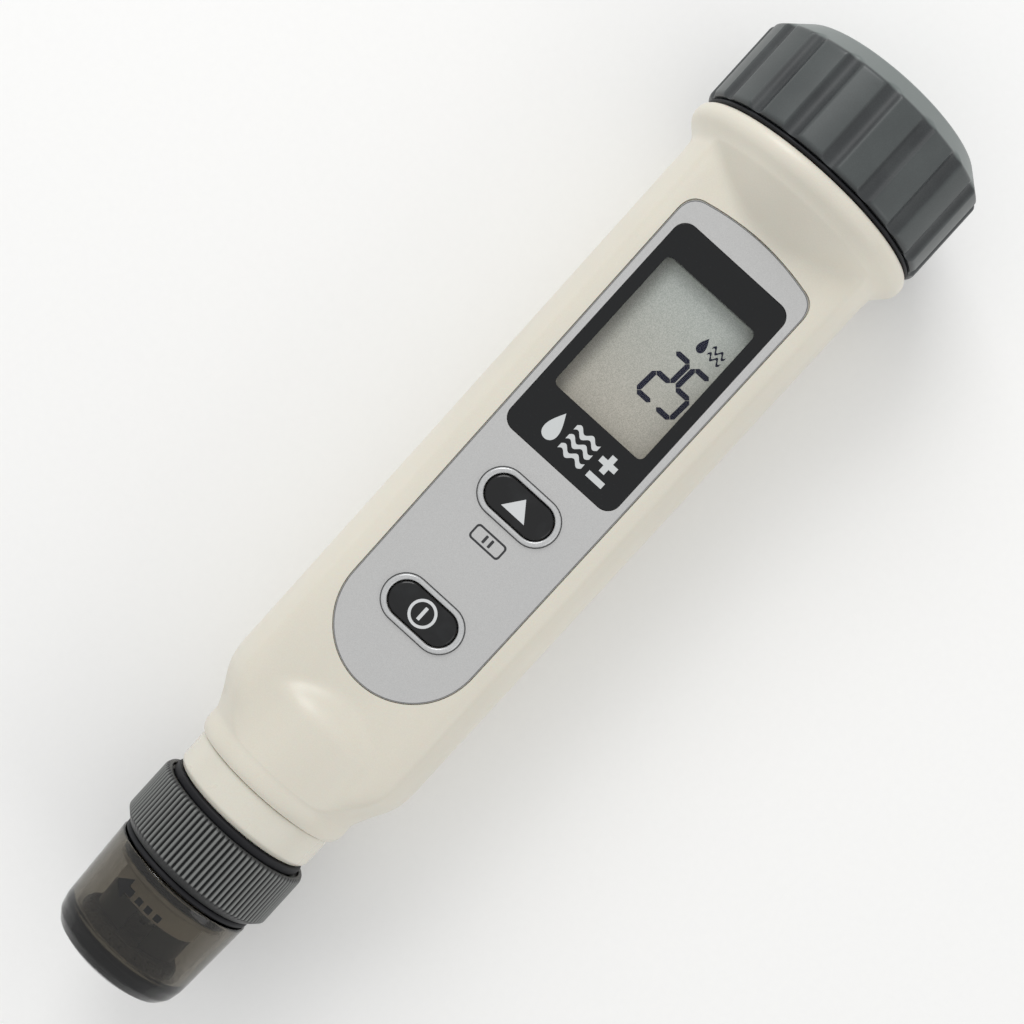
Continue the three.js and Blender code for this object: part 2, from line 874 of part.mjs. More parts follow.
const IVORY = finish(0xdfd8c6, 0.5);
const NECK_IVORY = finish(0xdedbcd, 0.5);
const CAP_GREY = finish(0x565a5a, 0.45);
const COLLAR_GREY = finish(0x747776, 0.5);
const SEAL_BLACK = finish(0x15161c, 0.6);
const PANEL_SILVER = finish(0xb9b9b8, 0.35, 0.3);
const KEY_BLACK = finish(0x1c1e20, 0.2);
const LENS_CLEAR = finish(0x2d2f32, 0.05, 0, 0.5);
const LCD_GREY = finish(0xa5aaa2, 0.2);
const FRAME_WHITE = finish(0xd8d8d4, 0.6);
const BOARD_GREEN = finish(0x1f5c38, 0.5);
const CHIP_BLACK = finish(0x17181a, 0.6);
const BRIGHT_METAL = finish(0xc4c6c8, 0.25, 1);
const GOLD_METAL = finish(0xd0ab58, 0.3, 1);
const PROBE_BLACK = finish(0x222326, 0.4);
const SENSOR_GLASS = finish(0xd6dfe0, 0.05, 0, 0.5);
const JUNCTION_WHITE = finish(0xe8e6e0, 0.8);
const SMOKED_CLEAR = finish(0x5b5348, 0.1, 0, 0.6);
const SPONGE_GREY = finish(0x5b5a57, 0.9);
const LEAD_RED = finish(0x9c2b26, 0.5);
const LEAD_BLACK = finish(0x1a1a1b, 0.5);

/** A named sub-part, added to its group. */
function add(group, name, geometry, material) {
  const mesh = new THREE.Mesh(geometry, material);
  mesh.name = name;
  group.add(mesh);
}

function addFace(group) {
  add(group, "face_panel", facePanel(), PANEL_SILVER);
  add(group, "display_lens", displayLens(), LENS_CLEAR);
  add(group, "lcd_glass", lcdGlass(), LCD_GREY);
  add(group, "lcd_frame", lcdFrame(), FRAME_WHITE);
  add(group, "zebra_strip_upper", zebraStrip(WINDOW_MIDDLE + 14.8), CHIP_BLACK);
  add(group, "zebra_strip_lower", zebraStrip(WINDOW_MIDDLE - 14.8), CHIP_BLACK);
  for (const [name, along] of Object.entries(KEY_PLACES)) {
    add(group, name + "_bezel", keyBezel(along), PANEL_SILVER);
    add(group, name + "_button", key(along), KEY_BLACK);
    add(group, name + "_switch", switchBody(along), BRIGHT_METAL);
    add(group, name + "_switch_plunger", switchPlunger(along), CHIP_BLACK);
  }
}

function addElectronics(group) {
  add(group, "inner_chassis", innerChassis(), FRAME_WHITE);
  add(group, "main_board", mainBoard(), BOARD_GREEN);
  add(group, "controller_chip", controllerChip(), CHIP_BLACK);
  for (const [name, place] of Object.entries(SCREW_PLACES)) {
    add(group, "board_screw_" + name, boardScrew(place), BRIGHT_METAL);
  }
  add(group, "battery_lead_red", batteryLead(1), LEAD_RED);
  add(group, "battery_lead_black", batteryLead(-1), LEAD_BLACK);
}

function addBatteryEnd(group) {
  add(group, "battery_carrier", batteryCarrier(), CHIP_BLACK);
  add(group, "battery_contact_lower", lowerContact(), BRIGHT_METAL);
  for (let i = 0; i < CELL_COUNT; i += 1) {
    add(group, "button_cell_" + (i + 1), buttonCell(i), BRIGHT_METAL);
  }
  add(group, "battery_spring", batterySpring(), BRIGHT_METAL);
  add(group, "battery_contact_disc", contactDisc(), BRIGHT_METAL);
  add(group, "battery_cap_seal", batteryCapSeal(), SEAL_BLACK);
  add(group, "battery_cap", batteryCap(), CAP_GREY);
}

function addProbeEnd(group) {
  add(group, "neck_sleeve", neckSleeve(), NECK_IVORY);
  add(group, "collar_seal", collarSeal(), SEAL_BLACK);
  add(group, "probe_collar", probeCollar(), COLLAR_GREY);
  add(group, "probe_body", probeBody(), PROBE_BLACK);
  add(group, "probe_seal", probeSeal(), SEAL_BLACK);
  add(group, "sensor_glass", sensorGlass(), SENSOR_GLASS);
  add(group, "sensor_pin", sensorPin(), BRIGHT_METAL);
  add(group, "reference_junction", referenceJunction(), JUNCTION_WHITE);
  add(group, "probe_pin_left", probePin(PIN_PLACES[0]), GOLD_METAL);
  add(group, "probe_pin_right", probePin(PIN_PLACES[1]), GOLD_METAL);
  add(group, "probe_socket", probeSocket(), CHIP_BLACK);
  add(group, "storage_cap_seal", storageCapSeal(), SEAL_BLACK);
  add(group, "storage_cap", storageCap(), SMOKED_CLEAR);
  add(group, "storage_sponge", storageSponge(), SPONGE_GREY);
}

const pen = new THREE.Group();
add(pen, "housing", housing(), IVORY);
addFace(pen);
addElectronics(pen);
addBatteryEnd(pen);
addProbeEnd(pen);
pen.position.set(0, -PEN_LENGTH / 2, RIM_RADIUS * Math.cos(Math.PI / HOUSING_FACETS));

const tester = new THREE.Group();
tester.add(pen);

export default tester;
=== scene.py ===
import math

import bmesh
import bpy
import numpy as np
from mathutils import Matrix, Vector


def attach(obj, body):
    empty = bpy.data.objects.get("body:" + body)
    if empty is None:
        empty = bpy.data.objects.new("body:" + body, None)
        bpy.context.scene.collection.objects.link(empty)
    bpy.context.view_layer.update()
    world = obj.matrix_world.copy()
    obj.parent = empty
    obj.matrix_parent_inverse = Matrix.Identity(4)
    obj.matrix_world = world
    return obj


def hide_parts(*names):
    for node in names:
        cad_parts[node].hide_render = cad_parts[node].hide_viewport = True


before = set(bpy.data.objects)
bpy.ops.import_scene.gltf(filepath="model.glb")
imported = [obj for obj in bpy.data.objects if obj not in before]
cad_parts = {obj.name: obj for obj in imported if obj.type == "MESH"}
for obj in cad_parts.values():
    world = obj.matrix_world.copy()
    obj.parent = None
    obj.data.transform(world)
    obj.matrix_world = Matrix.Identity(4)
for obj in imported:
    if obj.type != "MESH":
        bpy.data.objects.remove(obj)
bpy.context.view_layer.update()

# ---- Housing ----
# One moulding of ivory ABS: a tube with a flat for the display, a round nose towards the probe and a
# flared rim. The pockets for the label, the lens and the keys are moulded in, and the threaded spigot
# above the rim takes the battery cap.

# Shapes are drawn in millimetres about the pen's own axis: across, along from the storage cap's end
# face, and up. The pen lies on its rim, so the axis is one rim radius above the floor.
HALF_LENGTH, AXIS_HEIGHT = 97.75, 23.0786
RIM_RADIUS = 23.07


def in_frame(points):
    """Millimetres about the pen's axis as metres in the frame: the origin is moved, then all is scaled."""
    return (np.asarray(points, float) + (0, -HALF_LENGTH, AXIS_HEIGHT)) / 1000


def eased(profile, radius=0.25, closed=True, steps=4):
    """The profile with round corners: each corner gives way to the quadratic curve between the two points
    one radius back along its sides, or 0.45 of the side if that is less."""
    corner = np.asarray(profile, float)

    def back_along(side):
        length = np.linalg.norm(side, axis=1, keepdims=True)
        return side / np.maximum(length, 1e-9) * np.minimum(radius, 0.45 * length)

    start = (corner + back_along(np.roll(corner, 1, 0) - corner))[:, None]
    end = (corner + back_along(np.roll(corner, -1, 0) - corner))[:, None]
    t = np.linspace(0, 1, steps + 1)[None, :, None]
    curve = (1 - t) ** 2 * start + 2 * t * (1 - t) * corner[:, None] + t**2 * end
    if closed:
        return curve.reshape(-1, 2)
    return np.vstack([corner[:1], curve[1:-1].reshape(-1, 2), corner[-1:]])


def stepped(profile, step, closed=True):
    """The profile with each side split evenly, into parts no longer than the step."""
    corner = np.vstack([profile, profile[:1]]) if closed else np.asarray(profile, float)
    side = np.diff(corner, axis=0)
    parts = np.maximum(1, np.ceil(np.linalg.norm(side, axis=1) / step)).astype(int)
    inside = np.arange(parts.sum()) - np.repeat(np.cumsum(parts) - parts, parts)
    points = np.repeat(corner[:-1], parts, 0) + np.repeat(side / parts[:, None], parts, 0) * inside[:, None]
    return points if closed else np.vstack([points, corner[-1:]])


def turned(profile, columns, radius=None):
    """A profile of (radius, along) carried round the axis. The angle counts from straight up towards the
    right, and radius(r, angle, along) may reshape the round section."""
    angle = np.linspace(0, 2 * np.pi, columns, endpoint=False)[None]
    r, along = np.asarray(profile, float).T[:, :, None]
    r = r + 0 * angle if radius is None else radius(r, angle, along) + 0 * angle
    return np.stack([r * np.sin(angle), along + 0 * angle, r * np.cos(angle)], -1)


def skin(name, points, loop=True, ring=True):
    """A mesh of a grid of points, rows by columns, in quads. ring closes the columns, loop the rows."""
    rows, columns = points.shape[:2]
    here = np.arange(rows * columns).reshape(rows, columns)
    if ring:
        here = np.hstack([here, here[:, :1]])
    if loop:
        here = np.vstack([here, here[:1]])
    quads = np.stack([here[:-1, :-1], here[:-1, 1:], here[1:, 1:], here[1:, :-1]], -1)
    mesh = bpy.data.meshes.new(name)
    mesh.from_pydata(in_frame(points).reshape(-1, 3).tolist(), [], quads.reshape(-1, 4).tolist())
    return mesh


def piece(mesh, finish, flat=False):
    """An object of a mesh: seams and poles merged, faces outwards, smooth except at sharp edges. flat
    weighs the normals by area, so that a plate's face stays flat up to its rounded rim."""
    shape = bmesh.new()
    shape.from_mesh(mesh)
    bmesh.ops.remove_doubles(shape, verts=shape.verts, dist=2e-6)
    bmesh.ops.recalc_face_normals(shape, faces=shape.faces)
    shape.to_mesh(mesh)
    shape.free()
    mesh.shade_smooth()
    mesh.set_sharp_from_angle(angle=math.radians(32))
    mesh.materials.append(finish)
    made = bpy.data.objects.new(mesh.name, mesh)
    bpy.context.scene.collection.objects.link(made)
    if flat:
        made.modifiers.new("flat", "WEIGHTED_NORMAL").keep_sharp = True
    return made


def fit(made, body, slot, *stands_for):
    """Fixes a piece to its body and hides the plain nodes that it stands for. The slot is not used."""
    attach(made, body)
    if stands_for:
        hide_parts(*stands_for)
    return made


def smooth_min(a, b, blend):
    """The smaller of two radii, with the corner between them rounded over the blend distance."""
    share = np.maximum(blend - np.abs(a - b), 0) / blend
    return np.minimum(a, b) - share**2 * blend / 4


def housing_outside(r, angle, along):
    """The round body cut by the flat 12 mm above the axis, with the nose's cone and the flare's cone
    rising out of that flat. Each meeting is blended over 1.6 to 2.2 mm."""
    body = smooth_min(r, 12 / np.maximum(np.cos(angle), 0.05), 2.2)
    nose = smooth_min(15.25, 12 + (60.3 - along) * 0.87, 1.6)
    cones = np.maximum(np.maximum(nose, 12 + (along - 162) * 1.16), 1)
    return np.minimum(r, -smooth_min(-body, -cones, 1.6))


def housing_inside(r, angle, along):
    """The same shape one wall further in."""
    flat = 9.6 / np.maximum(np.cos(angle), 0.05)
    cones = np.maximum(9.6 + (57.9 - along) * 0.87, 9.6 + (along - 164.4) * 1.16)
    return np.minimum(r, np.maximum(flat, cones))


def plate(name, outlines, low, high, edge=0.0):
    """A flat plate between two heights: the first outline less the holes in it, with rounded rims."""
    curve = bpy.data.curves.new(name, "CURVE")
    curve.dimensions, curve.fill_mode, curve.bevel_resolution = "2D", "BOTH", 2
    curve.extrude = ((high - low) / 2 - edge) / 1000
    curve.bevel_depth, curve.offset = edge / 1000, -edge / 1000
    for outline in outlines:
        flat = in_frame(np.column_stack([outline, np.full(len(outline), (low + high) / 2)]))
        spline = curve.splines.new("POLY")
        spline.points.add(len(flat) - 1)
        level_and_weight = np.tile([0.0, 1.0], (len(flat), 1))
        spline.points.foreach_set("co", np.hstack([flat[:, :2], level_and_weight]).ravel())
        spline.use_cyclic_u = True
    sketch = bpy.data.objects.new(name, curve)
    bpy.context.scene.collection.objects.link(sketch)
    bpy.context.view_layer.update()
    mesh = bpy.data.meshes.new_from_object(sketch.evaluated_get(bpy.context.evaluated_depsgraph_get()))
    bpy.data.objects.remove(sketch)
    mesh.name = name
    mesh.transform(Matrix.Translation((0, 0, in_frame([0, 0, (low + high) / 2])[2])))
    return mesh


def rounded_rectangle(width, length, radius, along, across=0.0):
    """Four quarter circles joined by straight sides."""
    turn = np.linspace(0, np.pi / 2, 9)
    quarter = np.arange(4).repeat(9)
    angle = np.tile(turn, 4) + quarter * np.pi / 2
    x = (width / 2 - radius) * np.array([1, -1, -1, 1])[quarter] + radius * np.cos(angle)
    y = (length / 2 - radius) * np.array([1, 1, -1, -1])[quarter] + radius * np.sin(angle)
    return np.column_stack([x + across, y + along])


def slot_outline(length, width, along, steps=20):
    """A slot with round ends, its long way across the pen: two half circles."""
    turn = np.linspace(-np.pi / 2, np.pi / 2, steps)
    x, y = width / 2 * np.cos(turn) + (length - width) / 2, width / 2 * np.sin(turn)
    return np.column_stack([np.r_[x, -x], np.r_[y, -y] + along])


def label_outline(grow=0.0):
    """A half circle below, sides that part a little, and a crowned top with round corners."""
    low, high, top, end = 13 + grow, 13.55 + grow, 159.7 + grow, 162.1 + grow
    turn = np.linspace(np.pi, 2 * np.pi, 49)
    round_end = np.column_stack([low * np.cos(turn), 77.6 + low * np.sin(turn)])
    t = np.linspace(0, 1, 13)[:, None]

    def bend(a, b, c):
        return (1 - t) ** 2 * np.array(a) + 2 * t * (1 - t) * np.array(b) + t**2 * np.array(c)

    right = bend((high, top - 3.2), (high, top + 0.3), (high - 3.2, top + 0.8))
    crown = bend((high - 3.2, top + 0.8), (0, end + 0.8), (3.2 - high, top + 0.8))
    left = bend((3.2 - high, top + 0.8), (-high, top + 0.3), (-high, top - 3.2))
    return np.vstack([round_end, right, crown[1:-1], left])


def carve(made, *cutters):
    """Cuts plates out of a piece."""
    for cutter in cutters:
        tool = piece(cutter, made.data.materials[0])
        cut = made.modifiers.new("cut", "BOOLEAN")
        cut.operation, cut.solver, cut.object = "DIFFERENCE", "EXACT", tool
        bpy.context.view_layer.update()
        mesh = bpy.data.meshes.new_from_object(made.evaluated_get(bpy.context.evaluated_depsgraph_get()))
        made.modifiers.clear()
        made.data = mesh
        bpy.data.objects.remove(tool)
    made.data.shade_smooth()
    made.data.set_sharp_from_angle(angle=math.radians(32))
    return made


def srgb(red, green, blue):
    """A screen colour, 0 to 255, as the linear colour that shaders take."""
    c = np.array([red, green, blue]) / 255
    return (*np.where(c <= 0.04045, c / 12.92, ((c + 0.055) / 1.055) ** 2.4).tolist(), 1.0)


class Wire:
    """A shader socket that Python can do sums with. Each sum adds a Math node."""

    def __init__(self, finish, socket):
        self.finish, self.socket = finish, socket

    def sum(self, operation, first, second):
        return self.finish.node("ShaderNodeMath", {"operation": operation}, {0: first, 1: second})

    def __add__(self, other):
        return self.sum("ADD", self, other)

    def __radd__(self, other):
        return self.sum("ADD", other, self)

    def __sub__(self, other):
        return self.sum("SUBTRACT", self, other)

    def __rsub__(self, other):
        return self.sum("SUBTRACT", other, self)

    def __mul__(self, other):
        return self.sum("MULTIPLY", self, other)

    def __rmul__(self, other):
        return self.sum("MULTIPLY", other, self)


class Finish:
    """A material being made. The sockets that are the same all over are set when it is begun."""

    def __init__(self, name, constants):
        self.material = bpy.data.materials.new(name)
        self.material.use_nodes = True
        self.tree = self.material.node_tree
        self.shader = self.tree.nodes["Principled BSDF"]
        for socket, value in constants.items():
            self.shader.inputs[socket].default_value = value
        self.place = self.node("ShaderNodeTexCoord", {}, {}, "Object")

    def node(self, kind, settings=None, sockets=None, output=0):
        """Adds a node of any type: its settings first, then its sockets' values or links."""
        new = self.tree.nodes.new(kind)
        for setting, value in (settings or {}).items():
            setattr(new, setting, value)
        for socket, value in (sockets or {}).items():
            self.feed(new.inputs[socket], value)
        return Wire(self, new.outputs[output])

    def feed(self, socket, value):
        if isinstance(value, Wire):
            self.tree.links.new(value.socket, socket)
        else:
            socket.default_value = value

    def noise(self, scale, detail=2.0, place=None):
        """Noise from 0 to 1. The scale is in lumps to the metre."""
        sockets = {"Vector": place or self.place, "Scale": scale, "Detail": detail}
        return self.node("ShaderNodeTexNoise", {}, sockets)

    def mask(self, value, low, high):
        """0 below low and 1 above high, with a smooth step between."""
        settings = {"interpolation_type": "SMOOTHSTEP"}
        return self.node("ShaderNodeMapRange", settings, {"Value": value, "From Min": low, "From Max": high})

    def blend(self, share, first, second):
        """A colour between two colours."""
        return self.node("ShaderNodeMix", {"data_type": "RGBA"}, {0: share, 6: first, 7: second}, 2)

    def stretched(self, x, y, z):
        """The place with each axis scaled, for grain that runs one way."""
        return self.node("ShaderNodeVectorMath", {"operation": "MULTIPLY"}, {0: self.place, 1: (x, y, z)})

    def off_axis(self):
        """The distance from the pen's axis, in metres."""
        settings = {"operation": "MULTIPLY_ADD"}
        sockets = {0: self.place, 1: (1, 0, 1), 2: (0, 0, -AXIS_HEIGHT / 1000)}
        flat = self.node("ShaderNodeVectorMath", settings, sockets)
        return self.node("ShaderNodeVectorMath", {"operation": "LENGTH"}, {0: flat}, "Value")

    def done(self, colour, roughness, relief=None, depth=0.0, **other):
        """Links the maps and gives the finished material. relief is a height map, and depth its size in
        metres."""
        self.feed(self.shader.inputs["Base Color"], colour)
        self.feed(self.shader.inputs["Roughness"], roughness)
        if relief is not None:
            bump = self.node("ShaderNodeBump", {}, {"Height": relief, "Distance": depth, "Strength": 1.0})
            self.feed(self.shader.inputs["Normal"], bump)
        for socket, value in other.items():
            self.feed(self.shader.inputs[socket.replace("_", " ")], value)
        return self.material


def moulded(name, colour, roughness, grain=0.000004, shift=0.05, constants=None):
    """Moulded plastic: a fine spark-eroded grain, faint flow marks in the colour, and a sheen that handling
    has evened out in patches."""
    finish = Finish(name, constants or {})
    flow = finish.noise(45, 3.0, finish.stretched(1, 0.35, 1))
    handling = finish.noise(120, 3.0)
    fine = finish.noise(5200, 1.0)
    dark = (*(np.array(colour[:3]) * (1 - shift)).tolist(), 1)
    light = (*np.minimum(np.array(colour[:3]) * (1 + 0.6 * shift), 1).tolist(), 1)
    tone = finish.blend(finish.mask(0.75 * flow + 0.25 * fine, 0.35, 0.65), dark, light)
    sheen = roughness - 0.05 + 0.1 * finish.mask(handling, 0.35, 0.7)
    return finish.done(tone, sheen, 0.8 * fine + 0.2 * finish.noise(1500), grain)


MILKY = {"Subsurface Weight": 0.06, "Subsurface Scale": 0.002}
IVORY = moulded("ivory_abs", srgb(221, 216, 202), 0.36, constants=MILKY)

outside = eased([
    (14.6, 40.5), (15.1, 41.3), (15.25, 42.6), (15.15, 44.2), (15.35, 45), (16.7, 47.8), (18.3, 50.6),
    (19, 52.4), (19.35, 54.6), (19.4, 56.5), (19.4, 60.3), (19.42, 62.2), (19.98, 159.9), (20, 162),
    (20, 166.2), (20.2, 168.9), (21.2, 170.2), (22.6, 171.5), (RIM_RADIUS, 172.6), (22.95, 173.9),
    (22.2, 174.7), (18.4, 174.7), (18.4, 187), (17.8, 187.6), (16.4, 187.6),
], 0.7, closed=False)
inside = eased([
    (16.2, 187.4), (16.2, 169.8), (17.5, 164.4), (17.5, 158), (17.2, 60), (17, 57.9), (15.2, 53.6),
    (13.2, 50.4), (13.2, 40.7), (13.4, 40.5), (14.4, 40.5),
], 0.3, closed=False)
housing_shell = piece(skin("housing_shell", np.vstack([
    turned(stepped(outside, 0.62, closed=False), 264, housing_outside),
    turned(stepped(inside, 2.5, closed=False), 264, housing_inside),
])), IVORY)
LENS_PLACE, WINDOW_PLACE = 134.15, 136.15
KEY_PLACES = {"hold": 103.3, "power": 79.9}
carve(
    housing_shell,
    plate("label_recess", [label_outline(0.2)], 11.4, 14),
    plate("lens_pocket", [rounded_rectangle(24.1, 44.7, 2.6, LENS_PLACE)], 10.5, 14),
    plate("window_opening", [rounded_rectangle(20.3, 29.1, 0.6, WINDOW_PLACE)], 8, 14),
    *[plate("key_opening", [slot_outline(13.5, 6.6, along)], 8, 14) for along in KEY_PLACES.values()],
)
fit(housing_shell, "housing_body", "ivory_shell", "housing")


def thread(name, root, crest, pitch, turns, widths, start):
    """A ridge of tapering section, root width and crest width, on a right-hand helix about the axis. It
    fades into its wall over an eighth of a turn at each end."""
    turn = np.linspace(0, turns, round(72 * turns))[:, None]
    size = np.clip(np.minimum(turn, turns - turn) * 8, 0, 1)
    edge = np.array([[0, -0.5, 0], [0.75, -0.42, 1], [1, -0.3, 1], [1, 0.3, 1], [0.75, 0.42, 1], [0, 0.5, 0]])
    r = root + (crest - root) * edge[:, 0] * size
    width = widths[0] + (widths[1] - widths[0]) * edge[:, 0]
    along = start + turn * pitch + edge[:, 1] * width * size
    angle = 2 * np.pi * turn
    return skin(name, np.stack([r * np.sin(angle), along, r * np.cos(angle)], -1), loop=False)


spigot_thread = thread("spigot_thread", 18.1, 19.15, 3, 2.75, (1.3, 0.5), 177.3)
fit(piece(spigot_thread, IVORY), "housing_body", "ivory_shell")

# ---- Neck sleeve ----
# A separate, whiter moulding pressed into the skirt. Its upper half stands inside the housing, and
# its lower half has the thread that carries the collar.

NECK_IVORY = moulded("neck_ivory", srgb(221, 217, 204), 0.32, constants=MILKY)
sleeve = eased([
    (10.7, 24.5), (11.8, 24.5), (12.2, 25), (12.2, 33.7), (13.25, 33.7), (13.9, 34.6), (13.98, 40.3),
    (12.9, 40.3), (12.9, 49.6), (10.7, 49.6),
], 0.3)
fit(
    piece(skin("neck_tube", turned(stepped(sleeve, 1.5), 144)), NECK_IVORY),
    "housing_body", "neck_ivory", "neck_sleeve",
)
neck_thread = thread("neck_thread", 11.9, 12.9, 2.5, 2.25, (1.1, 0.4), 25.4)
fit(piece(neck_thread, NECK_IVORY), "housing_body", "neck_ivory")

# ---- Battery cap ----
# A turned-looking moulding in dark grey nylon, with eighteen finger grooves that run out into a
# 45 degree chamfer. It is hollow, and a thread inside screws it onto the spigot.

GROOVE_WIDTH, GROOVE_DEPTH, GROOVE_TURN = 3.5, 0.9, math.radians(-1.3)
CUTTER = (GROOVE_WIDTH**2 / 4 + GROOVE_DEPTH**2) / (2 * GROOVE_DEPTH)


def cap_grip(r, angle, along):
    """The profile cut by eighteen round cutters that lie along the cap just outside it: a ray meets a
    cutter at the near root of its circle. The land's edge is rounded over 0.25 mm."""
    off = (angle - GROOVE_TURN + np.pi / 18) % (np.pi / 9) - np.pi / 18
    centre = 23 + CUTTER - GROOVE_DEPTH
    inside_root = np.maximum(CUTTER**2 - (centre * np.sin(off)) ** 2, 0)
    groove = np.where(inside_root > 0, centre * np.cos(off) - np.sqrt(inside_root), 24.5)
    grip = smooth_min(23.0 + 0 * off, groove, 0.25)
    outer = (r > 18.55) & (along > 175.9) | (r > 22)
    return np.where(outer, smooth_min(r + 0 * off, grip + 0.03, 0.25), r)


CAP_GREY = Finish("cap_nylon", {})
# Painted light: the lands between the grooves are painted lighter than the grooves, a painted highlight on the
# lands and painted shade in the grooves. The same mask makes the lands a little glossier.
land_highlight_and_gloss = CAP_GREY.mask(CAP_GREY.off_axis(), 0.0226, 0.02305)
# Painted highlight: the chamfer and end face are painted much lighter, as where the soft box lights them.
along_cap = CAP_GREY.node("ShaderNodeSeparateXYZ", {}, {"Vector": CAP_GREY.place}, 1)
painted_end_highlight = CAP_GREY.mask(along_cap, 0.0938, 0.0944)
fine, patch = CAP_GREY.noise(4200, 2.0), CAP_GREY.noise(160, 3.0)
mottle = CAP_GREY.mask(0.6 * patch + 0.4 * fine, 0.35, 0.7)
tone = CAP_GREY.blend(mottle, srgb(46, 49, 51), srgb(58, 62, 63))
CAP_GREY = CAP_GREY.done(
    CAP_GREY.blend(0.2 * land_highlight_and_gloss + 0.75 * painted_end_highlight, tone, srgb(122, 130, 128)),
    0.36 + 0.1 * patch - 0.05 * land_highlight_and_gloss,
    fine, 0.000006,
)
cap_outside = stepped(eased([
    (19.5, 175.8), (22.5, 175.8), (23.03, 176.5), (23.03, 191.5), (18.6, 195.5), (0, 195.5),
], np.array([[0.1], [0.2], [0.3], [0.5], [0.5], [0.1]]), closed=False), 0.45, closed=False)
cap_inside = stepped(eased([
    (0, 189.9), (2, 189.9), (2, 192.2), (17, 192.2), (18, 190), (19.5, 189), (19.5, 175.9),
], 0.25, closed=False), 1.6, closed=False)
cap_walls = np.vstack([turned(cap_outside, 432, cap_grip), turned(cap_inside, 432)])
fit(piece(skin("cap_grip", cap_walls), CAP_GREY), "battery_cap", "cap_grey", "battery_cap")
cap_thread = thread("cap_thread", 19.8, 18.75, 3, 2.75, (1.3, 0.5), 178.8)
fit(piece(cap_thread, CAP_GREY), "battery_cap", "cap_grey")

# ---- Seals ----
# Black nitrile rings: a flat gasket under the battery cap, a ring in the collar's mouth, the lip that
# the storage cap meets, and an O-ring on the probe's stem.


def rubber(name, colour):
    """Moulded rubber: dark, with a dusting of pale bloom and a fine crazed grain."""
    finish = Finish(name, {"Specular IOR Level": 0.4})
    bloom, fine = finish.noise(260, 4.0), finish.noise(6500, 2.0)
    tone = finish.blend(0.35 * finish.mask(bloom, 0.5, 0.75), srgb(*colour), srgb(36, 37, 42))
    return finish.done(tone, 0.5 + 0.2 * bloom, 0.7 * fine + 0.3 * bloom, 0.000008)


SEAL_RUBBER = rubber("seal_rubber", (11, 12, 18))
for name, body, node, section in (
    ("cap_gasket", "housing_body", "battery_cap_seal",
     [(19.3, 174.85), (22, 174.85), (22.35, 175.25), (22, 175.65), (19.3, 175.65)]),
    ("collar_ring", "housing_body", "collar_seal",
     [(12.35, 31.9), (13.3, 31.8), (13.7, 32.1), (13.7, 33.3), (13.3, 33.5), (12.35, 33.5)]),
    ("storage_lip", "cap_seal", "storage_cap_seal",
     [(12, 19.6), (13.1, 19.55), (13.4, 20.1), (13.1, 20.65), (12, 20.6)]),
    ("stem_ring", "probe", "probe_seal",
     [(10.3, 17.3), (11.1, 17.35), (11.4, 17.8), (11.1, 18.25), (10.3, 18.3)]),
):
    fit(piece(skin(name, turned(eased(section, 0.25, steps=5), 144)), SEAL_RUBBER), body, "seal_rubber", node)

# ---- Collar ----
# A mid-grey ABS ring with ninety-six fine ribs to grip, chamfered at both rims. It screws onto the
# neck and traps the probe's flange.


def collar_grip(r, angle, along):
    """The profile cut by ninety-six ribs: a rounded crest every 3.75 degrees, 0.52 mm above a narrow
    valley."""
    rib = 14.66 + 0.52 * (0.5 + 0.5 * np.cos(96 * angle)) ** 0.6
    return np.where(r > 14.0, smooth_min(r + 0 * angle, rib, 0.12), r)


COLLAR_GREY = Finish("collar_abs", {})
# Painted light: the crests of the ribs are painted far lighter than their valleys, a painted highlight on the
# crests and painted shade in the valleys.
crest = COLLAR_GREY.mask(COLLAR_GREY.off_axis(), 0.01485, 0.01515)
fine, patch = COLLAR_GREY.noise(4800, 2.0), COLLAR_GREY.noise(180, 3.0)
COLLAR_GREY = COLLAR_GREY.done(
    COLLAR_GREY.blend(crest, srgb(46, 47, 47), srgb(118, 120, 118)),
    0.38 + 0.1 * patch,
    fine, 0.000005,
)
collar_section = stepped(eased([
    (11.5, 20.8), (13.4, 20.8), (15.2, 22.6), (15.2, 31.4), (14.8, 32.2), (14.1, 32.2), (14.1, 31.4),
    (13.2, 31.4), (13.2, 22.7), (11.5, 22.7),
], 0.18, steps=3), 0.9)
fit(
    piece(skin("collar_grip", turned(collar_section, 1152, collar_grip)), COLLAR_GREY),
    "collar", "collar_grey", "probe_collar",
)
collar_thread = thread("collar_thread", 13.5, 12.5, 2.5, 2.0, (1.1, 0.4), 26.65)
fit(piece(collar_thread, COLLAR_GREY), "collar", "collar_grey")

# ---- Label ----
# A printed polyester film in a shallow recess on the flat: pearly silver with a thin dark border, a
# hole for the lens and one for each key frame. Its signs are printed in black and its border in grey.

FILM = Finish("label_film", {"Metallic": 0.2, "Coat Weight": 0.25, "Coat Roughness": 0.3})
flake, drift = FILM.noise(9000, 1.0), FILM.noise(30, 2.0)
tone = FILM.blend(FILM.mask(flake, 0.3, 0.7), srgb(185, 185, 184), srgb(200, 200, 199))
FILM = FILM.done(FILM.blend(0.3 * drift, tone, srgb(181, 182, 183)), 0.34 + 0.08 * flake, flake, 0.000001)
frames = [slot_outline(15.6, 8.4, along) for along in KEY_PLACES.values()]
openings = [rounded_rectangle(23.9, 44.5, 2.5, LENS_PLACE), *frames]
fit(
    piece(plate("label", [label_outline(), *openings], 11.5, 12, 0.04), FILM, flat=True),
    "housing_body", "panel_silver", "face_panel",
)


def printed(name, colour):
    """Screen ink: an opaque film with pinholes' worth of tone and a slightly uneven gloss."""
    finish = Finish(name, {})
    dot = finish.noise(7000, 2.0)
    dark = (*(np.array(srgb(*colour)[:3]) * 0.9).tolist(), 1)
    return finish.done(finish.blend(dot, dark, srgb(*colour)), 0.3 + 0.15 * dot, dot, 0.000001)


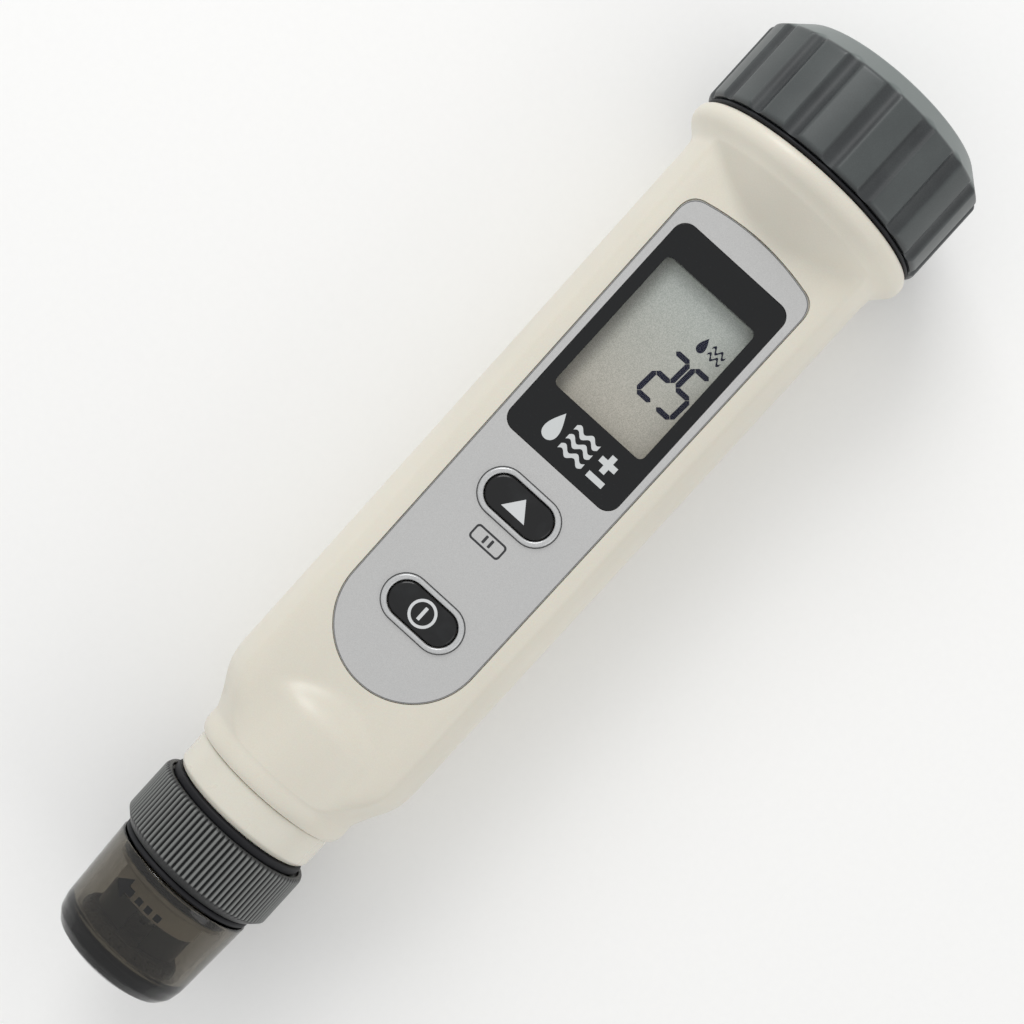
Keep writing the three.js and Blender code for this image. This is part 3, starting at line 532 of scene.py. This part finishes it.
INK_BLACK, INK_GREY = printed("ink_black", (44, 45, 48)), printed("ink_grey", (100, 101, 103))
pause = [rounded_rectangle(0.5, 1.5, 0.15, 95.7, x) for x in (-0.6, 0.6)]
bracket = [rounded_rectangle(6.4, 2.9, 0.7, 95.7), rounded_rectangle(5.7, 2.2, 0.45, 95.7)]
for name, ink, outlines in (
    ("label_border", INK_GREY, [label_outline(-0.05), label_outline(-0.16)]),
    *[
        (key + "_rule", INK_BLACK, [slot_outline(15.9, 8.7, along), slot_outline(15.66, 8.46, along)])
        for key, along in KEY_PLACES.items()
    ],
    ("hold_sign", INK_BLACK, bracket + pause),
):
    fit(piece(plate(name, outlines, 12.0, 12.012), ink), "housing_body", "panel_silver")

# ---- Display ----
# A clear acrylic lens, printed black on its back except at the window. Behind it is the liquid
# crystal glass with its grey-green reflector, with painted shade along its left side, and dark segments.

LENS_BLACK = Finish("lens_black", {"Coat Weight": 0.15, "Coat Roughness": 0.04, "Specular IOR Level": 0.3})
dust, wave = LENS_BLACK.noise(2600, 6.0), LENS_BLACK.noise(60, 1.0)
tone = LENS_BLACK.blend(0.5 * LENS_BLACK.mask(dust, 0.6, 0.8), srgb(13, 15, 17), srgb(40, 42, 44))
LENS_BLACK = LENS_BLACK.done(tone, 0.12 + 0.1 * dust, wave, 0.00002)
WINDOW = rounded_rectangle(19.3, 28.1, 1.1, WINDOW_PLACE)
border = plate("lens_border", [rounded_rectangle(23.7, 44.3, 2.4, LENS_PLACE), WINDOW], 10.6, 12, 0.06)
fit(piece(border, LENS_BLACK, flat=True), "housing_body", "display_lens", "display_lens")
PANE = Finish("lens_clear", {
    "Alpha": 0.05, "Specular IOR Level": 0.8, "Coat Weight": 1.0, "Coat Roughness": 0.03,
})
smoke = PANE.blend(PANE.noise(900, 4.0), srgb(58, 61, 60), srgb(74, 77, 75))
PANE = PANE.done(smoke, 0.05 + 0.05 * PANE.noise(90))
pane = plate("lens_pane", [rounded_rectangle(19.2, 28.0, 1.1, WINDOW_PLACE)], 11.3, 11.9, 0.05)
fit(piece(pane, PANE, flat=True), "housing_body", "display_lens")
INK_PALE = printed("ink_pale", (208, 211, 211))


def drop_sign(across, along, height):
    """A water drop: a circle drawn out to a point at the top."""
    turn = np.linspace(0, 2 * np.pi, 40, endpoint=False)
    x = 0.36 * height * np.sin(turn) * np.sin(turn / 2) ** 1.3
    return np.column_stack([x + across, along + 0.5 * height * np.cos(turn)])


def wave_sign(across, along, width, thick):
    """A band of even thickness about two periods of a sine wave."""
    x = np.linspace(-width / 2, width / 2, 41)
    y = 0.42 * np.sin(4 * np.pi * x / width)
    return np.column_stack([np.r_[x, x[::-1]] + across, np.r_[y + thick / 2, y[::-1] - thick / 2] + along])


signs = [drop_sign(-4.6, 117.1, 5.4)]
signs += [wave_sign(0.6, along, 5.2, 0.95) for along in (115.2, 117.15, 119.1)]
signs += [np.array([
    (4.4, 117.6), (5.55, 117.6), (5.55, 116.45), (6.65, 116.45), (6.65, 117.6), (7.8, 117.6), (7.8, 118.7),
    (6.65, 118.7), (6.65, 119.85), (5.55, 119.85), (5.55, 118.7), (4.4, 118.7),
])]
signs += [np.array([(4.4, 114.4), (7.8, 114.4), (7.8, 115.5), (4.4, 115.5)])]
fit(piece(plate("lens_signs", signs, 12.0, 12.012), INK_PALE), "housing_body", "display_lens")

LCD = Finish("lcd_reflector", {"Coat Weight": 0.3, "Coat Roughness": 0.1})
grain, cloud = LCD.noise(7000, 2.0), LCD.noise(55, 2.0)
warm = LCD.mask(LCD.node("ShaderNodeSeparateXYZ", {}, {"Vector": LCD.place}, 1), 0.056, 0.022)
# Painted shade: the reflector is darkened towards its left edge, as if shadowed by the window's rim above it.
painted_left_shade = LCD.mask(LCD.node("ShaderNodeSeparateXYZ", {}, {"Vector": LCD.place}, 0), -0.0062, -0.0097)
cool = LCD.blend(LCD.mask(grain, 0.35, 0.65), srgb(166, 176, 171), srgb(198, 205, 201))
beige = LCD.blend(LCD.mask(grain, 0.35, 0.65), srgb(172, 166, 153), srgb(200, 194, 181))
tone = LCD.blend(0.8 * warm + 0.2 * cloud, cool, beige)
LCD = LCD.done(LCD.blend(0.55 * painted_left_shade, tone, srgb(92, 92, 84)), 0.35 + 0.1 * grain, grain, 0.000003)
fit(
    piece(plate("lcd_cell", [rounded_rectangle(23.4, 33, 0.3, WINDOW_PLACE)], 7.3, 9.4, 0.05), LCD, flat=True),
    "housing_body", "lcd_glass", "lcd_glass",
)
SEGMENT = Finish("lcd_segment", {"Specular IOR Level": 0.15})
cells = SEGMENT.noise(5000, 2.0)
SEGMENT = SEGMENT.done(SEGMENT.blend(cells, srgb(26, 28, 46), srgb(34, 36, 54)), 0.35 + 0.1 * cells)


def segment(centre, length, thick, upright):
    """One bar of a digit: a long hexagon, leaning with the digit by a tenth of its height."""
    a, b = length / 2, thick / 2
    bar = np.array([(-a, 0), (b - a, b), (a - b, b), (a, 0), (a - b, -b), (b - a, -b)])
    bar = (bar[:, ::-1] if upright else bar) + centre
    return np.column_stack([bar[:, 0] + 0.06 * bar[:, 1], bar[:, 1]])


def digit(shown, across, along, width=3.1, height=9.0, thick=0.95):
    """A seven-segment digit. shown lists its bars: top, upper left, upper right, middle, lower left, lower
    right, bottom."""
    x, y = width / 2, height / 2
    bars = [
        segment((0, y), width - 0.1, thick, False), segment((-x, y / 2), y - 0.1, thick, True),
        segment((x, y / 2), y - 0.1, thick, True), segment((0, 0), width - 0.1, thick, False),
        segment((-x, -y / 2), y - 0.1, thick, True), segment((x, -y / 2), y - 0.1, thick, True),
        segment((0, -y), width - 0.1, thick, False),
    ]
    return [bars[i] + (across, along) for i in shown]


TWO, FIVE = (0, 2, 3, 4, 6), (0, 1, 3, 5, 6)
shown = digit(TWO, 3.1, 135.05) + digit(FIVE, 7.35, 135.05)
shown += [drop_sign(4.5, 143.3, 3.0), wave_sign(7.3, 142.7, 2.8, 0.5), wave_sign(7.3, 144, 2.8, 0.5)]
fit(piece(plate("lcd_digits", shown, 9.41, 9.43), SEGMENT), "housing_body", "lcd_glass")

# ---- Keys ----
# Each key is a gloss black cap in a raised satin-silver frame. A wide foot under the wall keeps it in,
# and its sign is printed in white.

FRAME_SILVER = Finish("key_frame_silver", {"Metallic": 0.45, "Coat Weight": 0.3, "Coat Roughness": 0.15})
flake, rub = FRAME_SILVER.noise(8000, 1.0), FRAME_SILVER.noise(400, 3.0)
tone = FRAME_SILVER.blend(FRAME_SILVER.mask(flake, 0.3, 0.7), srgb(186, 187, 188), srgb(206, 207, 207))
FRAME_SILVER = FRAME_SILVER.done(tone, 0.26 + 0.1 * rub, flake, 0.000001)
KEY_BLACK = Finish("key_black", {"Coat Weight": 0.3, "Coat Roughness": 0.05, "Specular IOR Level": 0.3})
smear, fine = KEY_BLACK.noise(350, 4.0), KEY_BLACK.noise(5000, 1.0)
tone = KEY_BLACK.blend(0.5 * KEY_BLACK.mask(smear, 0.45, 0.75), srgb(12, 13, 15), srgb(30, 32, 34))
KEY_BLACK = KEY_BLACK.done(tone, 0.16 + 0.14 * smear, fine, 0.000002)
KEY_WHITE = printed("ink_white", (214, 216, 217))


def key_cap(name, along):
    """Rows of the key's outline, each drawn in by an amount at a height: a foot, straight sides, a
    rounded edge and a crown that is 0.1 mm high. The last row closes on the slot's middle line."""
    inset, height = np.array([
        (4.0, 8.4), (-0.75, 8.4), (-1.0, 8.6), (-1.0, 9.0), (-0.8, 9.2), (0, 9.25), (0, 11.9), (0.05, 12.12),
        (0.2, 12.26), (0.5, 12.34), (1.2, 12.4), (2.2, 12.44), (3.1, 12.45),
    ]).T
    inset = np.minimum(inset, 3.1)
    rows = np.stack([slot_outline(13.1 - 2 * i, max(6.2 - 2 * i, 0.0), along, 28) for i in inset])
    levels = np.broadcast_to(height[:, None, None], (*rows.shape[:2], 1))
    return skin(name, np.concatenate([rows, levels], -1), loop=False)


turn = np.linspace(0, 2 * np.pi, 48, endpoint=False)
circle = np.column_stack([np.cos(turn), np.sin(turn)])
triangle = np.array([(-2.5, -1.65), (2.5, -1.65), (0, 1.7)]) + (0, KEY_PLACES["hold"])
bar = rounded_rectangle(0.6, 2.5, 0.1, KEY_PLACES["power"])
ring_place = np.array([0, KEY_PLACES["power"]])
for key, signs in (
    ("hold", [triangle]),
    ("power", [circle * 2.45 + ring_place, circle * 1.95 + ring_place, bar]),
):
    along = KEY_PLACES[key]
    rims = [slot_outline(15.5, 8.3, along), slot_outline(13.5, 6.6, along)]
    ring = plate(key + "_frame", rims, 11.5, 12.6, 0.3)
    fit(piece(ring, FRAME_SILVER, flat=True), "housing_body", "panel_silver", key + "_bezel")
    fit(piece(key_cap(key + "_cap", along), KEY_BLACK), key + "_key", "key_black", key + "_button")
    fit(piece(plate(key + "_print", signs, 12.452, 12.464), KEY_WHITE), key + "_key", "key_black")

# ---- Probe ----
# A plug of pale polypropylene in the neck. Below its flange a stem carries the storage cap, and four
# black guard legs stand round a glass tube with a platinum pin, beside a porous reference junction.

PROBE_BLACK = moulded("probe_plastic", srgb(26, 26, 28), 0.38, 0.000008, 0.15)
stem = eased([
    (0, 12), (6.4, 12), (8.4, 12.1), (8.5, 15.6), (10.9, 16.4), (10.9, 17.2), (10.2, 17.2), (10.2, 18.4),
    (11.2, 18.4), (11.2, 22.9), (12, 22.9), (12, 24.2), (10.4, 24.2), (10.4, 45.4), (9.8, 46), (0, 46),
], 0.2, closed=False)
STEM_PALE = moulded("stem_plastic", srgb(216, 210, 198), 0.4, 0.000008, 0.08)
probe_stem = piece(skin("probe_stem", turned(stepped(stem, 2, closed=False), 96), loop=False), STEM_PALE)


def round_hole(name, radius, across, low, high):
    """A drill for a hole that runs along the pen."""
    side = turned([(0, low), (radius, low), (radius, high), (0, high)], 40)
    return skin(name, side + (across, 0, 0), loop=False)


carve(
    probe_stem,
    round_hole("sensor_hole", 3.2, 0, 10, 24), round_hole("junction_hole", 1.1, 4.7, 10, 15),
    round_hole("left_pin_hole", 0.9, -3, 42, 48), round_hole("right_pin_hole", 0.9, 3, 42, 48),
)
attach(probe_stem, "probe")
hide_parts("probe_body")


def guard_leg(name, turn):
    """The leg's section, from inner to outer wall, swept over the angle that the two slots leave. The
    slots' sides are flat, 1.9 mm off centre, so the angle depends on the radius."""
    section = stepped(eased([(6.4, 12.3), (6.4, 7.2), (8.3, 7.2), (8.45, 12.3)], 0.4), 0.8)
    middle = section.mean(0)
    share = np.r_[-1, np.linspace(-1, 1, 15), 1][:, None]
    r, along = section.T[:, None, :]
    half = np.pi / 4 - np.arcsin(1.9 / r)
    angle = turn + half * share
    close = np.zeros((17, 1))
    close[[0, -1]] = 1
    r, along = r + close * (middle[0] - r), along + close * (middle[1] - along)
    angle = angle + close * (turn + (np.pi / 4 - np.arcsin(1.9 / middle[0])) * share - angle)
    return skin(name, np.stack([r * np.sin(angle), along + 0 * angle, r * np.cos(angle)], -1), loop=False)


for number in range(4):
    leg = piece(guard_leg(f"guard_leg_{number + 1}", np.pi / 4 + number * np.pi / 2), PROBE_BLACK)
    fit(leg, "probe", "probe_black")

SENSOR_GLASS = Finish("sensor_glass", {"Transmission Weight": 0.9, "IOR": 1.47, "Coat Weight": 0.3})
streak = SENSOR_GLASS.noise(500, 3.0, SENSOR_GLASS.stretched(1, 0.1, 1))
tone = SENSOR_GLASS.blend(streak, srgb(222, 230, 230), srgb(240, 244, 243))
SENSOR_GLASS = SENSOR_GLASS.done(tone, 0.03 + 0.05 * streak)
tube = eased([(0, 9.4), (1.9, 9.4), (2.9, 10.4), (2.9, 23.7), (0, 23.7)], 0.4, closed=False)
glass_tube = piece(skin("glass_tube", turned(tube, 64), loop=False), SENSOR_GLASS)
fit(glass_tube, "probe", "sensor_glass", "sensor_glass")


def metal(name, dark, light, roughness):
    """Drawn or stamped metal: fine marks along its length and a thin uneven film of oxide."""
    finish = Finish(name, {"Metallic": 1.0})
    drawn = finish.noise(3000, 3.0, finish.stretched(1, 0.15, 1))
    film = finish.noise(300, 3.0)
    tone = finish.blend(finish.mask(0.5 * drawn + 0.5 * film, 0.35, 0.65), srgb(*dark), srgb(*light))
    return finish.done(tone, roughness - 0.05 + 0.15 * drawn, drawn, 0.000003)


PLATINUM = metal("platinum", (176, 178, 182), (208, 210, 212), 0.22)
pin = eased([(0, 8.4), (0.6, 8.4), (0.6, 11.7), (0, 11.7)], 0.2, closed=False)
platinum_pin = piece(skin("platinum_pin", turned(pin, 40), loop=False), PLATINUM)
fit(platinum_pin, "probe", "sensor_platinum", "sensor_pin")

JUNCTION = Finish("porous_ceramic", {})
pore, stain = JUNCTION.noise(4500, 4.0), JUNCTION.noise(700, 3.0)
JUNCTION = JUNCTION.done(
    JUNCTION.blend(0.6 * stain, srgb(236, 234, 228), srgb(214, 206, 190)),
    0.75 + 0.15 * pore, JUNCTION.mask(pore, 0.35, 0.6), 0.00004,
)
frit = eased([(0, 11.6), (0.9, 11.6), (0.9, 14.7), (0, 14.7)], 0.15, closed=False)
fit(
    piece(skin("ceramic_frit", turned(frit, 32) + (4.7, 0, 0), loop=False), JUNCTION),
    "probe", "junction_white", "reference_junction",
)

GOLD = metal("gold_plate", (196, 158, 78), (226, 192, 112), 0.25)
for side, across in (("left", -3), ("right", 3)):
    contact = eased([(0, 42.3), (0.6, 42.3), (0.6, 51.8), (0.25, 52.6), (0, 52.6)], 0.2, closed=False)
    fit(
        piece(skin("plug_pin_" + side, turned(contact, 32) + (across, 0, 0), loop=False), GOLD),
        "probe", "contact_gold", "probe_pin_" + side,
    )

# ---- Storage cap ----
# A push-on cap in smoked clear acrylic with a thick floor and a thin wall. A dashed arrow printed in
# black shows which way to turn it.

SMOKE = Finish("smoked_acrylic", {"Transmission Weight": 1.0, "IOR": 1.49, "Specular IOR Level": 0.6})
haze, scuff = SMOKE.noise(90, 3.0), SMOKE.noise(900, 5.0, SMOKE.stretched(1, 0.2, 1))
tone = SMOKE.blend(haze, srgb(226, 222, 216), srgb(240, 237, 232))
absorbed = {"Color": (0.55, 0.53, 0.48, 1), "Density": 900.0}
tint = SMOKE.node("ShaderNodeVolumeAbsorption", {}, absorbed)
SMOKE.feed(SMOKE.tree.nodes["Material Output"].inputs["Volume"], tint)
SMOKE = SMOKE.done(tone, 0.03 + 0.12 * SMOKE.mask(scuff, 0.6, 0.85), scuff, 0.000002)
cup = eased([
    (0, 0), (9.4, 0), (11.2, 0.8), (12.3, 2.3), (12.8, 4.4), (13.5, 19.4), (11.75, 19.4), (11.6, 14),
    (11.1, 5.4), (10.3, 4.4), (0, 4.4),
], 0.35, closed=False)
fit(
    piece(skin("smoked_cup", turned(stepped(cup, 1.2, closed=False), 144), loop=False), SMOKE),
    "storage_cap", "smoked_clear", "storage_cap",
)
INK_FADED = printed("ink_faded", (9, 9, 10))


def cap_print(name, patches):
    """Ink on the cap's tapered wall. Each patch goes from one side to the other, measured round the wall
    in millimetres, with its lower and upper edge at each end, and stands 0.02 mm off the wall."""
    meshes = bmesh.new()
    for left, right, low_left, high_left, low_right, high_right in patches:
        share = np.linspace(0, 1, 9)[None]
        round_wall = left + (right - left) * share
        low, high = low_left + (low_right - low_left) * share, high_left + (high_right - high_left) * share
        along = low + (high - low) * np.array([0, 0, 1, 1])[:, None]
        wall = 12.8 + (along - 4.4) * 0.0467 + np.array([0.012, 0.03, 0.03, 0.012])[:, None]
        angle = round_wall / 13.1
        grid = np.stack([wall * np.sin(angle), along, wall * np.cos(angle)], -1)
        centre = grid.mean(0, keepdims=True)
        ends = np.concatenate([centre[:, :1].repeat(4, 0), grid, centre[:, -1:].repeat(4, 0)], 1)
        meshes.from_mesh(skin("patch", ends, ring=False))
    mesh = bpy.data.meshes.new(name)
    meshes.to_mesh(mesh)
    meshes.free()
    return mesh


arrow = [(-8.3, -5.5, 14.3, 14.3, 12.2, 16.4), (-5.5, -4.1, 13.6, 15, 13.6, 15)]
arrow += [(left, left + 1.2, 13.7, 14.9, 13.7, 14.9) for left in (-3.2, -1.2, 0.8)]
fit(piece(cap_print("turn_arrow", arrow), INK_FADED), "storage_cap", "smoked_clear")

# ---- Storage sponge ----
# A disc of grey cellulose foam in the floor of the storage cap. Kept wet, it stops the sensor drying
# out. Its edge is soft and its top is crowned.

FOAM = Finish("wet_foam", {"Sheen Weight": 0.2})
cell = FOAM.node("ShaderNodeTexVoronoi", {}, {"Vector": FOAM.place, "Scale": 1400.0}, "Distance")
damp = FOAM.noise(220, 3.0)
tone = FOAM.blend(FOAM.mask(cell, 0.05, 0.45), srgb(52, 51, 49), srgb(104, 102, 97))
FOAM = FOAM.done(FOAM.blend(0.4 * damp, tone, srgb(78, 74, 66)), 0.7 + 0.2 * cell, cell, 0.0003)


def foam_skin(r, angle, along):
    """The disc's edge moved in and out a little by the foam's own lumps."""
    return r * (1 - 0.012 * (1 + np.sin(9 * angle + 4 * along) * np.cos(5 * angle - 2 * along)))


foam = eased([
    (0, 4.62), (9.5, 4.62), (10.2, 5.2), (10, 6.3), (9.3, 6.7), (4, 6.86), (0, 6.9),
], 0.5, closed=False)
sponge = piece(skin("cap_sponge", turned(stepped(foam, 0.5, closed=False), 96, foam_skin), loop=False), FOAM)
fit(sponge, "storage_cap", "sponge_grey", "storage_sponge")

# ---- Battery compartment ----
# A black moulded tube with a centring flange holds four steel button cells. A spring plate in the
# cap's ceiling presses on the last one through a conical spring.

CARRIER_BLACK = moulded("carrier_plastic", srgb(34, 35, 37), 0.42, 0.000008, 0.15)
carrier = eased([
    (0, 160.6), (7.6, 160.6), (7.6, 181.5), (15.8, 181.5), (15.8, 183), (7.6, 183), (7.6, 184.4),
    (6.1, 184.4), (6.1, 162), (0, 162),
], 0.2, closed=False)
cell_tube = piece(skin("cell_tube", turned(stepped(carrier, 3, closed=False), 96), loop=False), CARRIER_BLACK)
carve(cell_tube, plate("side_window", [rounded_rectangle(18, 14, 0.5, 172)], -3.4, 3.4))
fit(cell_tube, "housing_body", "moulded_black", "battery_carrier")

CELL_STEEL = metal("cell_steel", (176, 178, 180), (214, 215, 216), 0.2)
for number in range(4):
    low = 162.75 + number * 5.52
    can = eased([
        (0, low), (5.5, low), (5.8, low + 0.3), (5.8, low + 4.6), (4.9, low + 4.8), (4.6, low + 5.05),
        (4.6, low + 5.4), (0, low + 5.4),
    ], 0.15, closed=False)
    fit(
        piece(skin(f"steel_cell_{number + 1}", turned(can, 64), loop=False), CELL_STEEL),
        "housing_body", "bright_steel", f"button_cell_{number + 1}",
    )

SPRING_STEEL = metal("spring_steel", (150, 151, 152), (200, 201, 202), 0.25)
disc = eased([(2.3, 190.6), (12, 190.6), (12, 191.1), (2.3, 191.1)], 0.15)
fit(
    piece(skin("contact_plate", turned(stepped(disc, 2), 96)), SPRING_STEEL),
    "cap_contact", "bright_steel", "battery_contact_disc",
)


def coil(name, turns, radii, rise, wire):
    """A round wire on a helix whose radius changes evenly from one end to the other. The wire's section
    lies across the helix, and closes to a point at each end."""
    t = np.linspace(0, 1, round(60 * turns))[:, None]
    t = np.vstack([t[:1], t, t[-1:]])
    section = np.linspace(0, 2 * np.pi, 14, endpoint=False)[None]
    thick = np.full((len(t), 1), wire)
    thick[[0, -1]] = 0
    angle, r = 2 * np.pi * turns * t, radii[0] + (radii[1] - radii[0]) * t + thick * np.cos(section)
    along = rise[0] + (rise[1] - rise[0]) * t + thick * np.sin(section)
    return skin(name, np.stack([r * np.cos(angle), along, r * np.sin(angle)], -1), loop=False)


fit(
    piece(coil("cone_spring", 3.5, (4.6, 3.4), (190, 185.7), 0.38), SPRING_STEEL),
    "cap_contact", "bright_steel", "battery_spring",
)

# ---- Works inside the housing ----
# The board, its chip, screws and switches, the display's frame and rubber contacts, the chassis they
# stand on, the socket for the probe, and the battery leads. They keep their own shapes.


def dress(finish, *nodes):
    """Gives nodes their finish."""
    for node in nodes:
        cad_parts[node].material_slots[0].material = finish


BOARD = Finish("solder_mask", {"Coat Weight": 0.4, "Coat Roughness": 0.2})
weave = BOARD.noise(2500, 1.0, BOARD.stretched(1, 0.2, 1))
track = BOARD.mask(BOARD.noise(420, 1.0), 0.52, 0.56)
tone = BOARD.blend(track, srgb(24, 84, 50), srgb(38, 108, 66))
BOARD = BOARD.done(tone, 0.3 + 0.2 * weave, track, 0.00003)
dress(BOARD, "main_board")
dress(moulded("chip_epoxy", srgb(28, 29, 31), 0.6, 0.00001, 0.2), "controller_chip")
dress(moulded("chassis_plastic", srgb(44, 45, 47), 0.5, 0.00001, 0.12), "inner_chassis", "probe_socket")
PLUNGER_BLACK = moulded("switch_plunger", srgb(40, 41, 43), 0.4, 0.000008, 0.15)
dress(PLUNGER_BLACK, "hold_switch_plunger", "power_switch_plunger")
dress(moulded("frame_plastic", srgb(222, 222, 217), 0.45), "lcd_frame")
PLATED_STEEL = metal("plated_steel", (150, 152, 154), (206, 207, 208), 0.25)
dress(PLATED_STEEL, "hold_switch", "power_switch", "board_screw_lower", "board_screw_upper")
dress(metal("contact_gold", (190, 150, 74), (224, 190, 108), 0.28), "battery_contact_lower")
dress(rubber("lead_red", (150, 38, 34)), "battery_lead_red")
dress(rubber("lead_black", (24, 24, 26)), "battery_lead_black")
ZEBRA = Finish("zebra_rubber", {})
sockets = {"Vector": ZEBRA.place, "Scale": 1600.0}
stripe = ZEBRA.node("ShaderNodeTexWave", {"bands_direction": "X"}, sockets, "Fac")
tone = ZEBRA.blend(ZEBRA.mask(stripe, 0.4, 0.6), srgb(190, 186, 178), srgb(30, 30, 32))
ZEBRA = ZEBRA.done(tone, 0.55 + 0.1 * stripe)
dress(ZEBRA, "zebra_strip_upper", "zebra_strip_lower")

# ---- Floor, light and camera ----
# A sheet of white paper under a soft box that stands beyond the battery cap on the left, a weak one on
# the right and an even white surround.

PAPER = Finish("white_paper", {"Specular IOR Level": 0.2})
fibre = PAPER.noise(700, 4.0)
tone = PAPER.blend(fibre, srgb(250, 250, 249), srgb(253, 253, 252))
PAPER = PAPER.done(tone, 0.7 + 0.1 * fibre, fibre, 0.00001)
paper = bpy.data.meshes.new("paper")
paper.from_pydata([(-3, -3, 0), (3, -3, 0), (3, 3, 0), (-3, 3, 0)], [], [(0, 1, 2, 3)])
paper.materials.append(PAPER)
floor = bpy.data.objects.new("paper", paper)
bpy.context.scene.collection.objects.link(floor)


def soft_box(name, place, target, size, power):
    """A square area light, turned to face its target."""
    light = bpy.data.lights.new(name, "AREA")
    light.shape, light.size, light.energy = "SQUARE", size, power
    lamp = bpy.data.objects.new(name, light)
    lamp.location = place
    lamp.rotation_euler = (Vector(target) - Vector(place)).to_track_quat("-Z", "Y").to_euler()
    bpy.context.scene.collection.objects.link(lamp)


soft_box("main_box", (-0.45, 0.52, 0.58), (0, 0, 0.02), 0.45, 2.6)
soft_box("right_box", (0.75, -0.1, 0.5), (0, 0, 0.02), 0.5, 0.7)
world = bpy.data.worlds.new("surround")
world.use_nodes = True
world.node_tree.nodes["Background"].inputs["Color"].default_value = (1, 1, 1, 1)
world.node_tree.nodes["Background"].inputs["Strength"].default_value = 0.74
bpy.context.scene.world = world
bpy.context.scene.view_settings.view_transform = "Standard"

# The camera stands 331 mm from the pen's axis, above its middle, turned so that the pen leans 42
# degrees to the right.
LEAN, TILT = math.radians(42.26), math.radians(0.213)
ahead = Vector((0, -math.sin(TILT), -math.cos(TILT)))
upright, right = Vector((0, math.cos(TILT), -math.sin(TILT))), Vector((1, 0, 0))
camera_right = math.cos(LEAN) * right + math.sin(LEAN) * upright
camera_up = math.cos(LEAN) * upright - math.sin(LEAN) * right
camera = bpy.data.objects.new("camera", bpy.data.cameras.new("camera"))
camera.matrix_world = Matrix.Translation(in_frame([-0.363, 103.14, 330.73])) @ Matrix(
    (camera_right, camera_up, -ahead)
).transposed().to_4x4()
camera.data.lens, camera.data.sensor_width, camera.data.clip_start = 68.8, 36, 0.01
bpy.context.scene.collection.objects.link(camera)
bpy.context.scene.camera = camera
